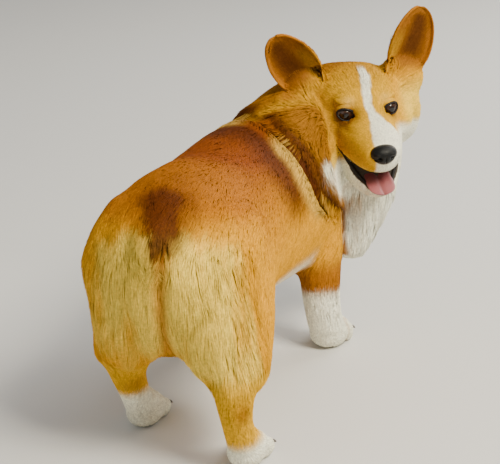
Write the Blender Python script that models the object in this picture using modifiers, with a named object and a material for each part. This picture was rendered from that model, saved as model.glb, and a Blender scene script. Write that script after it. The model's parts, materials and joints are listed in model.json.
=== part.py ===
"""A Pembroke Welsh Corgi, life size, standing and looking back over its right shoulder.

Metres, +Z up. The dog faces -Y, its right side is -X, and its four soles rest on the floor at Z 0.
The whole outline is blended from turned and lofted forms, and is then parted with thin cuts.
"""

import math
import random

import bmesh
import bpy
from mathutils import Matrix, Vector
from mathutils.bvhtree import BVHTree

# Driving dimensions, in metres, to the outside of the coat
GAP = 0.0003  # between parts that touch
TONGUE_GAP = GAP * 1.5  # round the tongue's root
SLIT_DEPTH = 1.6  # of the eye's radius, half of the opening's depth
EYE_RADIUS = 0.0108
LID_THICKNESS = 0.0015
EYE_OPENING = (0.0092, 0.0061)  # half width and half height of the slit between the lids
EYE_TURN = math.radians(14)  # each eye looks outwards by this
EYE_SLANT = math.radians(14)  # the outer corner lies higher
JAW_SLOPE = math.radians(17)  # the jaw hangs open, panting

# The forms are set out from the middle of the body. The dog's own origin is the middle of its bounds
ORIGIN = Vector((-0.0447, 0.0109, 0.0))

# The head stands in its own frame: it faces -Y, +X is the dog's left, and the origin is mid-skull
HEAD_CENTRE = Vector((-0.1010, -0.180, 0.2720))
HEAD_TURN = math.radians(208.8)  # about Z: it looks back over the right shoulder
HEAD_NOD = math.radians(9)  # nose down
HEAD_TILT = math.radians(-2.5)
HEAD = (
    Matrix.Translation(HEAD_CENTRE)
    @ Matrix.Rotation(HEAD_TURN, 4, "Z")
    @ Matrix.Rotation(HEAD_NOD, 4, "X")
    @ Matrix.Rotation(HEAD_TILT, 4, "Y")
)

# How finely the forms are blended
BODY_VOXEL = 0.0045
BODY_SOFTENING = 18
HEAD_VOXEL = 0.0030
HEAD_SOFTENING = 7
WHOLE_VOXEL = 0.0027
WHOLE_SOFTENING = 3
WHOLE_SHARE = 0.0245  # of the blended triangles that are kept
SIDES = 28  # round each lofted form
RINGS = 4  # from one section to the next

# Lofted forms: x, y, z of the section's middle, half width, half height or depth
TORSO = [
    (0.000, 0.258, 0.180, 0.020, 0.028),
    (0.000, 0.240, 0.184, 0.060, 0.066),
    (0.000, 0.200, 0.190, 0.080, 0.086),
    (0.000, 0.135, 0.196, 0.086, 0.088),
    (0.000, 0.060, 0.188, 0.084, 0.087),
    (-0.002, -0.010, 0.183, 0.088, 0.090),
    (-0.008, -0.080, 0.178, 0.090, 0.092),
    (-0.020, -0.130, 0.178, 0.084, 0.088),
    (-0.036, -0.170, 0.176, 0.064, 0.070),
    (-0.046, -0.198, 0.172, 0.036, 0.040),
]
NECK = [
    (-0.012, -0.085, 0.194, 0.076, 0.070),
    (-0.024, -0.132, 0.212, 0.072, 0.068),
    (-0.046, -0.172, 0.236, 0.064, 0.066),
    (-0.074, -0.190, 0.256, 0.055, 0.058),
    (-0.096, -0.178, 0.267, 0.046, 0.046),
]
BIB = [
    (-0.116, -0.178, 0.234, 0.036, 0.031),
    (-0.109, -0.184, 0.204, 0.045, 0.039),
    (-0.093, -0.182, 0.162, 0.048, 0.042),
    (-0.082, -0.170, 0.122, 0.043, 0.040),
    (-0.078, -0.156, 0.090, 0.031, 0.029),
]
THIGH = [
    (0.038, 0.150, 0.250, 0.030, 0.050),
    (0.045, 0.159, 0.220, 0.041, 0.073),
    (0.051, 0.169, 0.180, 0.038, 0.081),
    (0.056, 0.183, 0.140, 0.037, 0.069),
    (0.064, 0.203, 0.108, 0.033, 0.044),
    (0.069, 0.220, 0.086, 0.025, 0.027),
]
HIND_SHANK = [
    (0.066, 0.214, 0.110, 0.024, 0.030),
    (0.068, 0.228, 0.084, 0.0205, 0.0235),
    (0.069, 0.226, 0.056, 0.0165, 0.0190),
    (0.070, 0.216, 0.030, 0.0165, 0.0185),
    (0.070, 0.210, 0.016, 0.0170, 0.0180),
]
SHOULDER = [
    (0.050, -0.105, 0.215, 0.030, 0.050),
    (0.062, -0.106, 0.175, 0.032, 0.052),
    (0.066, -0.104, 0.135, 0.029, 0.040),
    (0.066, -0.100, 0.105, 0.024, 0.030),
]
FORELEG = [
    (0.068, -0.100, 0.130, 0.029, 0.034),
    (0.067, -0.098, 0.095, 0.0250, 0.0265),
    (0.066, -0.096, 0.060, 0.0225, 0.0225),
    (0.067, -0.098, 0.035, 0.0215, 0.0210),
    (0.068, -0.102, 0.018, 0.0210, 0.0210),
]
MUZZLE = [
    (0.0, -0.022, -0.012, 0.042, 0.037),
    (0.0, -0.046, -0.0180, 0.0380, 0.0320),
    (0.0, -0.070, -0.0235, 0.0310, 0.0265),
    (0.0, -0.090, -0.0265, 0.0252, 0.0215),
    (0.0, -0.103, -0.0285, 0.0205, 0.0180),
    (0.0, -0.1105, -0.0295, 0.0125, 0.0120),
]
LIPS = [
    (0.0270, -0.034, -0.0260, 0.0130, 0.0150),
    (0.0265, -0.052, -0.0270, 0.0115, 0.0140),
    (0.0220, -0.070, -0.0290, 0.0105, 0.0135),
    (0.0160, -0.086, -0.0310, 0.0095, 0.0145),
    (0.0090, -0.099, -0.0325, 0.0080, 0.0140),
]
LOWER_LIPS = [
    (0.0260, -0.036, -0.0470, 0.0130, 0.0130),
    (0.0255, -0.052, -0.0500, 0.0110, 0.0120),
    (0.0215, -0.066, -0.0560, 0.0095, 0.0100),
    (0.0170, -0.078, -0.0635, 0.0080, 0.0070),
    (0.0100, -0.089, -0.0695, 0.0070, 0.0060),
]
JAW = [
    (0.0, -0.006, -0.042, 0.041, 0.026),
    (0.0, -0.036, -0.0560, 0.0390, 0.0215),
    (0.0, -0.062, -0.0640, 0.0315, 0.0165),
    (0.0, -0.083, -0.0700, 0.0235, 0.0118),
    (0.0, -0.0965, -0.0730, 0.0150, 0.0083),
]
# Rounded masses: x, y, z of the middle and the three half sizes
THROAT = (-0.072, -0.174, 0.206, 0.056, 0.048, 0.054)
FORECHEST = (-0.040, -0.168, 0.205, 0.062, 0.046, 0.062)
HAUNCH = (0.044, 0.188, 0.198, 0.045, 0.058, 0.064)
BREECH = (0.047, 0.218, 0.152, 0.037, 0.038, 0.060)
LOW_BREECH = (0.059, 0.176, 0.112, 0.033, 0.036, 0.036)  # only on the left, where it hangs lower
SKULL = (0.0, 0.004, 0.002, 0.055, 0.056, 0.0365)
FOREHEAD = (0.0, -0.018, 0.006, 0.040, 0.034, 0.028)
CHEEK = (0.032, -0.012, -0.020, 0.030, 0.038, 0.031)
JOWL_RUFF = (0.050, 0.012, -0.024, 0.030, 0.033, 0.044)
THROAT_RUFF = (0.024, 0.006, -0.056, 0.030, 0.034, 0.030)
BROW = (0.0215, -0.0350, 0.0165, 0.0155, 0.0125, 0.0080)
EAR_MOUND = (0.056, 0.010, 0.014, 0.028, 0.020, 0.030)
EYE = (0.0240, -0.0412, 0.0050)
NOSE = (0.0, -0.1060, -0.0215, 0.0148, 0.0112, 0.0112)
NOSTRIL = (0.0074, -0.1160, -0.0222, 0.0036, 0.0062, 0.0027)
TONGUE = (0.0, -0.0850, -0.0632, 0.0150, 0.0250, 0.0040)
TONGUE_GROOVE = (0.0, -0.0945, -0.0610, 0.0012, 0.0160, 0.0040)
TAIL_UP = (0.0, 0.6, 0.8)
TAIL = [
    (0.000, 0.212, 0.246, 0.024, 0.016),
    (0.000, 0.238, 0.247, 0.021, 0.017),
    (0.000, 0.258, 0.239, 0.017, 0.014),
    (0.000, 0.268, 0.224, 0.010, 0.009),
]

# The mouth, seen from the side in the head's frame: Y and Z from the corner forwards, then back
MOUTH = [
    (-0.0460, -0.0290),
    (-0.0560, -0.0385),
    (-0.0660, -0.0425),
    (-0.0780, -0.0470),
    (-0.0920, -0.0495),
    (-0.1250, -0.0470),
    (-0.1250, -0.0800),
    (-0.1000, -0.0700),
    (-0.0880, -0.0635),
    (-0.0780, -0.0580),
    (-0.0700, -0.0520),
    (-0.0640, -0.0445),
    (-0.0560, -0.0395),
]
# The jaw is what lies below the mouth and in front of this line from its corner to the throat
JAW_PART = [
    (-0.0460, -0.0290),
    (-0.0560, -0.0390),
    (-0.0640, -0.0435),
    (-0.0700, -0.0475),
    (-0.0780, -0.0525),
    (-0.0880, -0.0565),
    (-0.1250, -0.0600),
    (-0.1250, -0.1200),
    (-0.0360, -0.1200),
]
JAW_PART_HALF = 0.050
MOUTH_HALF = 0.050
# The head is what lies in front of this line over the throat and up to the nape
HEAD_PART = [
    (-0.140, -0.0900),
    (-0.030, -0.0795),
    (0.008, -0.0720),
    (0.024, -0.0200),
    (0.034, 0.0600),
    (-0.140, 0.0600),
]
HEAD_PART_SIDES = (-0.070, 0.100)
NECK_SIDE = math.radians(20)  # the neck comes from this far round to the right of the nape
NECK_PART = [(-0.150, 0.100), (-0.066, 0.300), (-0.320, 0.420), (-0.320, 0.100)]
NECK_PART_SIDES = (-0.300, 0.200)
TAIL_PART = [(0.2500, 0.290), (0.2500, 0.222), (0.2600, 0.205), (0.300, 0.180), (0.300, 0.290)]
TAIL_PART_HALF = 0.030

# The ears: where the middle of the root stands on the head, and the ways that it grows and opens
EARS = {
    "left": ((0.054, 0.006, 0.028), (0.0790, 0.000, 0.0995)),
    "right": ((-0.054, 0.006, 0.028), (-0.0920, 0.000, 0.0860)),
}
EAR_EDGES = ((0.031, 0.000, 0.050), (0.074, 0.014, 0.006))  # inner and outer end of the root
# Share of the ear's length, half width there, and how far its edges stand in front of its middle
EAR_ROWS = [
    (-0.16, 0.0165, 0.0130),
    (0.00, 0.0215, 0.0135),
    (0.15, 0.0250, 0.0130),
    (0.32, 0.0272, 0.0118),
    (0.50, 0.0268, 0.0100),
    (0.66, 0.0243, 0.0080),
    (0.80, 0.0202, 0.0062),
    (0.91, 0.0148, 0.0044),
    (0.97, 0.0095, 0.0030),
    (1.00, 0.0040, 0.0020),
]
EAR_THICKNESS = 0.0030
EAR_SUNK = 0.004  # how far the middle of the leaf lies behind the line from root to tip
EAR_COLUMNS = 8
EAR_SPAN = (0.17, 1.20)  # the ear is what lies between these shares of its length
EAR_PART_DEPTHS = (-0.0095, 0.0300)  # behind and in front of that line
EAR_PART_HALF = 0.0293

# Where each foot stands: side of the body (1 is the left), shift along X and along Y
HIND_FEET = {"left": (1, -0.010, -0.070), "right": (-1, 0.000, 0.000)}
FORE_FEET = {"left": (1, -0.022, -0.030), "right": (-1, -0.012, 0.004)}
THIGH_FOLLOWS = (0.8, 0.55)  # share of the foot's shift across and along
FORE_PAW = (0.0235, 0.0320, 0.0190)  # half width, half length, half height
HIND_PAW = (0.0205, 0.0320, 0.0175)
TOE_RADII = (0.0078, 0.0140, 0.0104)
TOE_PLACES = ((-1.0, 0.80), (-1 / 3, 0.98), (1 / 3, 0.98), (1.0, 0.80))  # across and along a paw
TOE_SPREAD = (0.66, 0.22)  # share of the paw's half width, and turn of the outer toes
TOE_RISE = 0.92  # of a toe's half height
PAD = (-0.010, 0.86, (1.0, 0.92, 1.0))  # way back, share of its half height, shares of the paw
INSTEP = (-0.002, 1.5, (0.8, 0.62, 1.0))
HIND_TOE_OUT = math.radians(2)
FORE_TOE_OUT = math.radians(3)
CLAW = (0.0022, 0.0004, 0.0110)  # radius at the root and at the tip, and length
CLAW_REACH = 0.10  # of its length, from the toe's end to the claw's middle
CLAW_HEIGHT = 0.10  # of a toe's half height, over its middle
CLAW_SLOPE = math.radians(118)  # the tip points forwards and down

FLOOR = 0.0
# The levels at which the legs are parted
PAW_TOP = 0.034
LEG_FOOT = 0.010
FORELEG_TOP = 0.112
HIND_LEG_TOP = 0.098
THIGH_TOP = 0.168
# The boxes that hold each part of a leg: how far they reach from the ankle
LEG_HALF = 0.045  # to each side
PAW_REACH = (0.070, 0.040)  # forwards and back
FORELEG_REACH = 0.036
HIND_ANKLE_REACH = 0.050
HOCK_REACH = (0.070, 0.036)  # forwards and back, at the top of the lower leg
THIGH_BOX = (0.080, 0.320, 0.040)  # along Y, and its lowest level
FLANK = 0.150  # beyond the side of the body

# Colours, linear, and roughness, by how a part's name begins
WHITE = (0.80, 0.76, 0.66)
RED = (0.52, 0.20, 0.055)
TAN = (0.60, 0.33, 0.12)
CREAM = (0.76, 0.60, 0.34)
LOOKS = {
    "torso": (RED, 0.9),
    "neck": (TAN, 0.9),
    "head": (TAN, 0.85),
    "lower_jaw": (WHITE, 0.85),
    "tongue": ((0.62, 0.20, 0.20), 0.35),
    "nose": ((0.012, 0.011, 0.011), 0.35),
    "eye": ((0.020, 0.009, 0.004), 0.08),
    "ear": ((0.40, 0.16, 0.05), 0.9),
    "tail": ((0.30, 0.085, 0.025), 0.9),
    "thigh": (CREAM, 0.9),
    "hind_leg": (TAN, 0.9),
    "foreleg": (TAN, 0.9),
    "hind_paw": (WHITE, 0.85),
    "forepaw": (WHITE, 0.85),
}
SHARP_ANGLE = math.radians(50)

# The long coat: flat locks in tiers round an axis
LOCK_STATIONS = (0.0, 0.28, 0.60, 0.84, 1.0)  # shares of a lock's length
LOCK_WIDTHS = (0.62, 1.0, 0.88, 0.54)
LOCK_DEPTHS = (0.0036, 0.0046, 0.0040, 0.0026)
LOCK_HEIGHTS = (-0.0052, 0.0004, 0.0022, 0.0038, 0.0044)  # over the skin, from the sunk root to the tip
LOCK_JITTER = 0.20  # of the space between two locks
LOCK_SIZES = (0.88, 1.14)  # shares of the named length and width that are drawn
LOCK_BEND = math.radians(11)  # the most that a lock turns aside at each station
# Each tier: its height, the first and last angle round the axis in degrees, the number of locks,
# their length and half width. Behind each thigh the angles run from straight back, outwards
BREECH_TIERS = [
    (0.220, -4, 48, 3, 0.046, 0.0120),
    (0.196, -18, 66, 4, 0.046, 0.0120),
    (0.170, -28, 80, 5, 0.046, 0.0120),
    (0.144, -38, 88, 5, 0.046, 0.0120),
    (0.120, -52, 92, 6, 0.042, 0.0112),
]
BREECH_FOOT = (0.046, 0.186)
BREECH_LEAN = (0.018, 0.28)  # the axis moves outwards and with the leg as it goes down
# Round the chest and throat, from straight out to the right
BIB_TIERS = [
    (0.238, 0, 110, 4, 0.048, 0.0130),
    (0.208, -12, 95, 5, 0.048, 0.0130),
    (0.180, -75, 85, 6, 0.048, 0.0130),
    (0.152, -85, 85, 5, 0.046, 0.0130),
    (0.128, -80, 95, 5, 0.040, 0.0120),
]
BIB_FOOT = (-0.094, -0.176)
LOCK_REACH = 0.085  # a lock's root lies no farther from the axis than this
LOCK_FLARE = 0.05  # how far locks in tiers lean outwards
TIER_STAGGER = 0.25  # of the space between two locks
# Behind the cheeks, in the head's frame: how far back, how high, and the length
CHEEK_LOCKS = [
    (0.020, 0.004, 0.036),
    (0.012, -0.014, 0.036),
    (0.026, -0.022, 0.036),
    (0.008, -0.034, 0.034),
    (0.024, -0.046, 0.034),
]
SHORT_COAT = (0.006, -0.100, 0.065)  # in front of, above and within these there are no locks
CHEEK_LIE = (0.34, 0.58, -0.74)
CHEEK_WIDTH = 0.0100
CHEEK_REACH = 0.12  # from the middle of the head
# On the tail: how far to the left, and along Y
TAIL_LOCKS = [(-0.012, 0.250), (0.0, 0.254), (0.012, 0.250), (-0.006, 0.262), (0.007, 0.262)]
TAIL_LOCK = (0.026, 0.0085)  # length and half width
TAIL_LIE = (4.0, 0.6, -0.8)  # the first is how far the locks fan out
OVERHEAD = 0.40  # higher than any part of the body


def clear_scene():
    for obj in list(bpy.data.objects):
        bpy.data.objects.remove(obj)


def new_object(name, mesh):
    obj = bpy.data.objects.new(name, mesh)
    bpy.context.scene.collection.objects.link(obj)
    return obj


def remove(*objects):
    for obj in objects:
        bpy.data.objects.remove(obj)


def evaluated_copy(obj, name):
    """A new object with the modifiers and the place of obj worked into its mesh."""
    graph = bpy.context.evaluated_depsgraph_get()
    mesh = bpy.data.meshes.new_from_object(obj.evaluated_get(graph))
    mesh.transform(obj.matrix_world)
    return new_object(name, mesh)


def smooth_between(a, b, c, d, t):
    """Catmull-Rom: a curve from b to c, bent by its neighbours a and d."""
    return [
        0.5 * (2 * q + (r - p) * t + (2 * p - 5 * q + 4 * r - s) * t * t + (3 * q - p - 3 * r + s) * t**3)
        for p, q, r, s in zip(a, b, c, d)
    ]


def smooth_sections(sections, rings):
    padded = [sections[0], *sections, sections[-1]]
    found = []
    for i in range(len(sections) - 1):
        found += [smooth_between(*padded[i : i + 4], k / rings) for k in range(rings)]
    return found + [list(sections[-1])]


def loft(name, sections, upright, sides=SIDES, rings=RINGS):
    """A closed tube through ellipses. upright is the way that each section's half height points."""
    found = smooth_sections(sections, rings)
    centres = [Vector(s[:3]) for s in found]
    bm = bmesh.new()
    loops = []
    for i, (x, y, z, half_width, half_height) in enumerate(found):
        along = (centres[min(i + 1, len(found) - 1)] - centres[max(i - 1, 0)]).normalized()
        side = along.cross(upright).normalized()
        up = side.cross(along)
        ring = []
        for k in range(sides):
            turn = 2 * math.pi * k / sides
            offset = side * (half_width * math.cos(turn)) + up * (half_height * math.sin(turn))
            ring.append(bm.verts.new(centres[i] + offset))
        loops.append(ring)
    for first, second in zip(loops, loops[1:]):
        for k in range(sides):
            bm.faces.new((first[k], first[(k + 1) % sides], second[(k + 1) % sides], second[k]))
    bm.faces.new(reversed(loops[0]))
    bm.faces.new(loops[-1])
    bmesh.ops.recalc_face_normals(bm, faces=bm.faces)
    mesh = bpy.data.meshes.new(name)
    bm.to_mesh(mesh)
    bm.free()
    return new_object(name, mesh)


def ellipsoid(name, centre, radii, turn=None, segments=24, ring_count=14):
    """A ball stretched to three half sizes, turned by the matrix turn about its middle."""
    bm = bmesh.new()
    bmesh.ops.create_uvsphere(bm, u_segments=segments, v_segments=ring_count, radius=1)
    mesh = bpy.data.meshes.new(name)
    bm.to_mesh(mesh)
    bm.free()
    place = Matrix.Translation(centre) @ (turn or Matrix()) @ Matrix.Diagonal((*radii, 1))
    mesh.transform(place)
    return new_object(name, mesh)


def outset(outline, distance):
    """The outline of (Y, Z) points, run anticlockwise seen from +X, with its edges moved outwards."""
    found = []
    for i, point in enumerate(outline):
        before = Vector(outline[i - 1])
        after = Vector(outline[(i + 1) % len(outline)])
        here = Vector(point)
        normals = [Vector((e.y, -e.x)).normalized() for e in (here - before, after - here)]
        found.append(here + (normals[0] + normals[1]) * (distance / (1 + normals[0].dot(normals[1]))))
    return found


def anticlockwise(outline):
    area = sum(a[0] * b[1] - b[0] * a[1] for a, b in zip(outline, [*outline[1:], outline[0]]))
    return list(outline) if area > 0 else list(reversed(outline))


def prism(name, outline, low_x, high_x, place=None):
    """A closed outline of (Y, Z) points drawn out along X, then moved by the matrix place."""
    points = anticlockwise(outline)
    bm = bmesh.new()
    ends = [[bm.verts.new((x, y, z)) for y, z in points] for x in (low_x, high_x)]
    bm.faces.new(reversed(ends[0]))
    bm.faces.new(ends[1])
    for k in range(len(points)):
        after = (k + 1) % len(points)
        bm.faces.new((ends[0][k], ends[0][after], ends[1][after], ends[1][k]))
    bmesh.ops.triangulate(bm, faces=[f for f in bm.faces if len(f.verts) > 4])
    mesh = bpy.data.meshes.new(name)
    bm.to_mesh(mesh)
    bm.free()
    place = place or Matrix()
    mesh.transform(place)
    if place.determinant() < 0:
        mesh.flip_normals()
    return new_object(name, mesh)


def rectangle(low_y, high_y, low_z, high_z):
    return [(low_y, low_z), (high_y, low_z), (high_y, high_z), (low_y, high_z)]


def mirrored(values, side):
    """The same form on the other side of the body: side 1 is left, -1 is right."""
    return (values[0] * side, *values[1:])


def moved(sections, side, shift_x=0.0, shift_y=0.0, from_height=None):
    """Sections on one side of the body, shifted more the lower they lie, as a leg swings."""
    found = []
    top = from_height or sections[0][2]
    for x, y, z, half_width, half_height in sections:
        share = min(1.0, max(0.0, (top - z) / top))
        share = share * share * (3 - 2 * share)
        found.append((x * side + shift_x * share, y + shift_y * share, z, half_width, half_height))
    return found


def joined(name, pieces):
    """All the pieces in one object, still crossing one another."""
    bm = bmesh.new()
    for piece in pieces:
        bm.from_mesh(piece.data)
    mesh = bpy.data.meshes.new(name)
    bm.to_mesh(mesh)
    bm.free()
    remove(*pieces)
    return new_object(name, mesh)


def blended(name, pieces, voxel, softening):
    """One closed skin round all the pieces, with the creases between them softened."""
    rough = joined(name + "_rough", pieces)
    remesh = rough.modifiers.new("Blend", "REMESH")
    remesh.mode = "VOXEL"
    remesh.voxel_size = voxel
    if softening:
        smooth = rough.modifiers.new("Soften", "SMOOTH")
        smooth.factor = 0.5
        smooth.iterations = softening
    obj = evaluated_copy(rough, name)
    remove(rough)
    return obj


def cut(obj, cutter, operation, keep_cutter=False):
    """A Boolean with a closed cutter, worked into obj's mesh. Exact is slow on dense forms."""
    modifier = obj.modifiers.new(operation, "BOOLEAN")
    modifier.operation = operation
    modifier.solver = "MANIFOLD"
    modifier.object = cutter
    name = obj.name
    made = evaluated_copy(obj, name + "_cut")
    remove(obj)
    made.name = name
    if not keep_cutter:
        remove(cutter)
    return made


def largest_body(obj):
    """Keeps only the largest closed surface of the object."""
    bm = bmesh.new()
    bm.from_mesh(obj.data)
    bm.verts.ensure_lookup_table()
    left = set(bm.verts)
    groups = []
    while left:
        front = [left.pop()]
        group = set(front)
        while front:
            vert = front.pop()
            for edge in vert.link_edges:
                other = edge.other_vert(vert)
                if other in left:
                    left.discard(other)
                    group.add(other)
                    front.append(other)
        groups.append(group)
    groups.sort(key=len, reverse=True)
    for group in groups[1:]:
        bmesh.ops.delete(bm, geom=list(group), context="VERTS")
    bm.to_mesh(obj.data)
    bm.free()
    return obj


def part_off(whole, name, outline, low_x, high_x, place=None):
    """Cuts the whole along a prism: what lies inside it becomes its own part. A thin gap parts them."""
    points = anticlockwise(outline)
    inner = prism("inner", points, low_x, high_x, place)
    outer = prism("outer", outset(points, GAP), low_x - GAP, high_x + GAP, place)
    part = new_object("part", whole.data.copy())
    part = cut(part, inner, "INTERSECT")
    part.name = name
    rest = cut(whole, outer, "DIFFERENCE")
    return largest_body(part), largest_body(rest)


def paw_place(side, ankle, toe_out):
    return Matrix.Translation((*ankle, 0)) @ Matrix.Rotation(toe_out * side, 4, "Z")


def toes(side, ankle, radii, toe_out):
    """The frame of each of the four toes: its middle, with -Y the way that it points."""
    half_width, half_length = radii[:2]
    share_out, turn_out = TOE_SPREAD
    found = []
    for across, along in TOE_PLACES:
        centre = (across * half_width * share_out, -half_length * along, TOE_RADII[2] * TOE_RISE)
        spread = Matrix.Rotation(across * turn_out, 4, "Z")
        found.append(paw_place(side, ankle, toe_out) @ Matrix.Translation(centre) @ spread)
    return found


def paw_forms(side, ankle, radii, toe_out):
    """A pad with four toes in front of the ankle, turned out by toe_out."""
    place = paw_place(side, ankle, toe_out)
    forms = []
    for back, rise, shares in (PAD, INSTEP):
        size = [radius * share for radius, share in zip(radii, shares)]
        form = ellipsoid("pad", (0, back, radii[2] * rise), size)
        form.data.transform(place)
        forms.append(form)
    for toe in toes(side, ankle, radii, toe_out):
        form = ellipsoid("toe", (0, 0, 0), TOE_RADII)
        form.data.transform(toe)
        forms.append(form)
    return forms


def body_forms():
    """The trunk, neck, bib, tail and legs, out to the coat."""
    up = Vector((0, 0, 1))
    forward = Vector((0, -1, 0))
    forms = [loft("torso", TORSO, up), loft("neck", NECK, up), loft("bib", BIB, forward)]
    for form in (THROAT, FORECHEST):
        forms.append(ellipsoid("chest", form[:3], form[3:]))
    forms.append(loft("tail", TAIL, Vector(TAIL_UP)))
    for foot, (side, shift_x, shift_y) in HIND_FEET.items():
        thigh_shift = (shift_x * THIGH_FOLLOWS[0], shift_y * THIGH_FOLLOWS[1])
        forms.append(loft("thigh_" + foot, moved(THIGH, side, *thigh_shift), forward))
        shank = moved(HIND_SHANK, side, shift_x, shift_y, THIGH[0][2])
        forms.append(loft("shank_" + foot, shank, forward))
        forms.append(ellipsoid("haunch_" + foot, mirrored(HAUNCH[:3], side), HAUNCH[3:]))
        breech = moved([(*BREECH[:3], 0, 0)], side, *thigh_shift, THIGH[0][2])[0][:3]
        forms.append(ellipsoid("breech_" + foot, breech, BREECH[3:]))
    forms.append(ellipsoid("low_breech", LOW_BREECH[:3], LOW_BREECH[3:]))
    for foot, (side, shift_x, shift_y) in FORE_FEET.items():
        forms.append(loft("shoulder_" + foot, moved(SHOULDER, side, shift_x, shift_y), forward))
        leg = moved(FORELEG, side, shift_x, shift_y, SHOULDER[0][2])
        forms.append(loft("foreleg_" + foot, leg, forward))
    return forms


def head_forms():
    """The skull, cheeks, muzzle and jaw, in the head's own frame."""
    up = Vector((0, 0, 1))
    forms = [loft("muzzle", MUZZLE, up), loft("jaw", JAW, up)]
    forms += [ellipsoid("skull", form[:3], form[3:]) for form in (SKULL, FOREHEAD)]
    for side in (1, -1):
        for lip in (LIPS, LOWER_LIPS):
            forms.append(loft("lips", [mirrored(section, side) for section in lip], up))
        for form in (CHEEK, JOWL_RUFF, THROAT_RUFF, BROW, EAR_MOUND):
            forms.append(ellipsoid("mass", mirrored(form[:3], side), form[3:]))
    return forms


def ear_frame(name):
    """Middle of the root, the ways to the tip, to the outer edge and out of the cup, and the length."""
    root, tip = (Vector(v) for v in EARS[name])
    side = 1 if root.x > 0 else -1
    inner, outer = (Vector(mirrored(v, side)) for v in EAR_EDGES)
    axis = (tip - root).normalized()
    across = outer - inner
    across = (across - axis * across.dot(axis)).normalized()
    opening = axis.cross(across) * side
    if opening.y > 0:
        opening = -opening
    return root, axis, across, opening, (tip - root).length


def ear(name):
    """A cupped leaf with a rounded tip, its root sunk in the head."""
    root, axis, across, opening, length = ear_frame(name)
    bm = bmesh.new()
    grid = []
    for share, half_width, cup in EAR_ROWS:
        row = []
        for k in range(EAR_COLUMNS + 1):
            t = 2 * k / EAR_COLUMNS - 1
            point = root + axis * (share * length) + across * (half_width * math.sin(t * math.pi / 2))
            point += opening * (cup * t * t - EAR_SUNK)
            row.append(bm.verts.new(point))
        grid.append(row)
    for first, second in zip(grid, grid[1:]):
        for k in range(EAR_COLUMNS):
            bm.faces.new((first[k], first[k + 1], second[k + 1], second[k]))
    mesh = bpy.data.meshes.new("leaf")
    bm.to_mesh(mesh)
    bm.free()
    leaf = new_object("leaf", mesh)
    solid = leaf.modifiers.new("Thickness", "SOLIDIFY")
    solid.thickness = EAR_THICKNESS
    solid.offset = 0
    made = evaluated_copy(leaf, "ear_" + name)
    remove(leaf)
    bm = bmesh.new()
    bm.from_mesh(made.data)
    bmesh.ops.triangulate(bm, faces=bm.faces)
    bmesh.ops.recalc_face_normals(bm, faces=bm.faces)
    bm.to_mesh(made.data)
    bm.free()
    return made


def lock(tree, root, lie, length, half_width, bend=0.0):
    """A flat tapered lock on the surface held in tree. Its root is sunk and it follows the lie."""
    point, normal = tree.find_nearest(root)[:2]
    heading = (lie - normal * lie.dot(normal)).normalized()
    bm = bmesh.new()
    rings = []
    for number, share in enumerate(LOCK_STATIONS):
        if number:
            step = length * (share - LOCK_STATIONS[number - 1])
            point, normal = tree.find_nearest(point + heading * step)[:2]
            heading = Matrix.Rotation(bend, 3, normal) @ heading
            heading = (heading - normal * heading.dot(normal)).normalized()
        middle = point + normal * LOCK_HEIGHTS[number]
        if number == len(LOCK_WIDTHS):
            tip = bm.verts.new(middle)
            break
        wide = heading.cross(normal) * (half_width * LOCK_WIDTHS[number])
        ridge = middle + normal * LOCK_DEPTHS[number]
        rings.append([bm.verts.new(corner) for corner in (middle + wide, ridge, middle - wide)])
    for first, second in zip(rings, rings[1:]):
        for k in range(3):
            after = (k + 1) % 3
            bm.faces.new((first[k], first[after], second[after]))
            bm.faces.new((first[k], second[after], second[k]))
    for k in range(3):
        bm.faces.new((rings[-1][k], rings[-1][(k + 1) % 3], tip))
    bm.faces.new(rings[0])
    bmesh.ops.recalc_face_normals(bm, faces=bm.faces)
    mesh = bpy.data.meshes.new("lock")
    bm.to_mesh(mesh)
    bm.free()
    return new_object("lock", mesh)


def at_the_mouth(point):
    """True on the face and jaw, where the coat is short."""
    x, y, z = HEAD.inverted() @ point
    return y < SHORT_COAT[0] and z > SHORT_COAT[1] and abs(x) < SHORT_COAT[2]


def tiers_of_locks(tree, tiers, foot, lean, zero, turning, draw):
    """Locks in tiers round an upright axis, from the way zero. turning is 1 or -1."""
    locks = []
    top = tiers[0][0]
    for number, (height, first, last, count, length, half_width) in enumerate(tiers):
        centre = Vector((foot[0], foot[1], height)) + Vector((*lean, 0)) * (top - height)
        stagger = TIER_STAGGER if number % 2 else -TIER_STAGGER
        for k in range(count):
            share = (k + 0.5 + stagger + draw.uniform(-LOCK_JITTER, LOCK_JITTER)) / count
            turn = math.radians(first + (last - first) * share) * turning
            out = Matrix.Rotation(turn, 3, "Z") @ Vector(zero)
            hit = tree.ray_cast(centre, out, LOCK_REACH)[0]
            if hit is None or at_the_mouth(hit):
                continue
            size = draw.uniform(*LOCK_SIZES)
            bend = draw.uniform(-LOCK_BEND, LOCK_BEND)
            lie = Vector((0, 0, -1)) + out * LOCK_FLARE
            locks.append(lock(tree, hit, lie, length * size, half_width * size, bend))
    return locks


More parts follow.
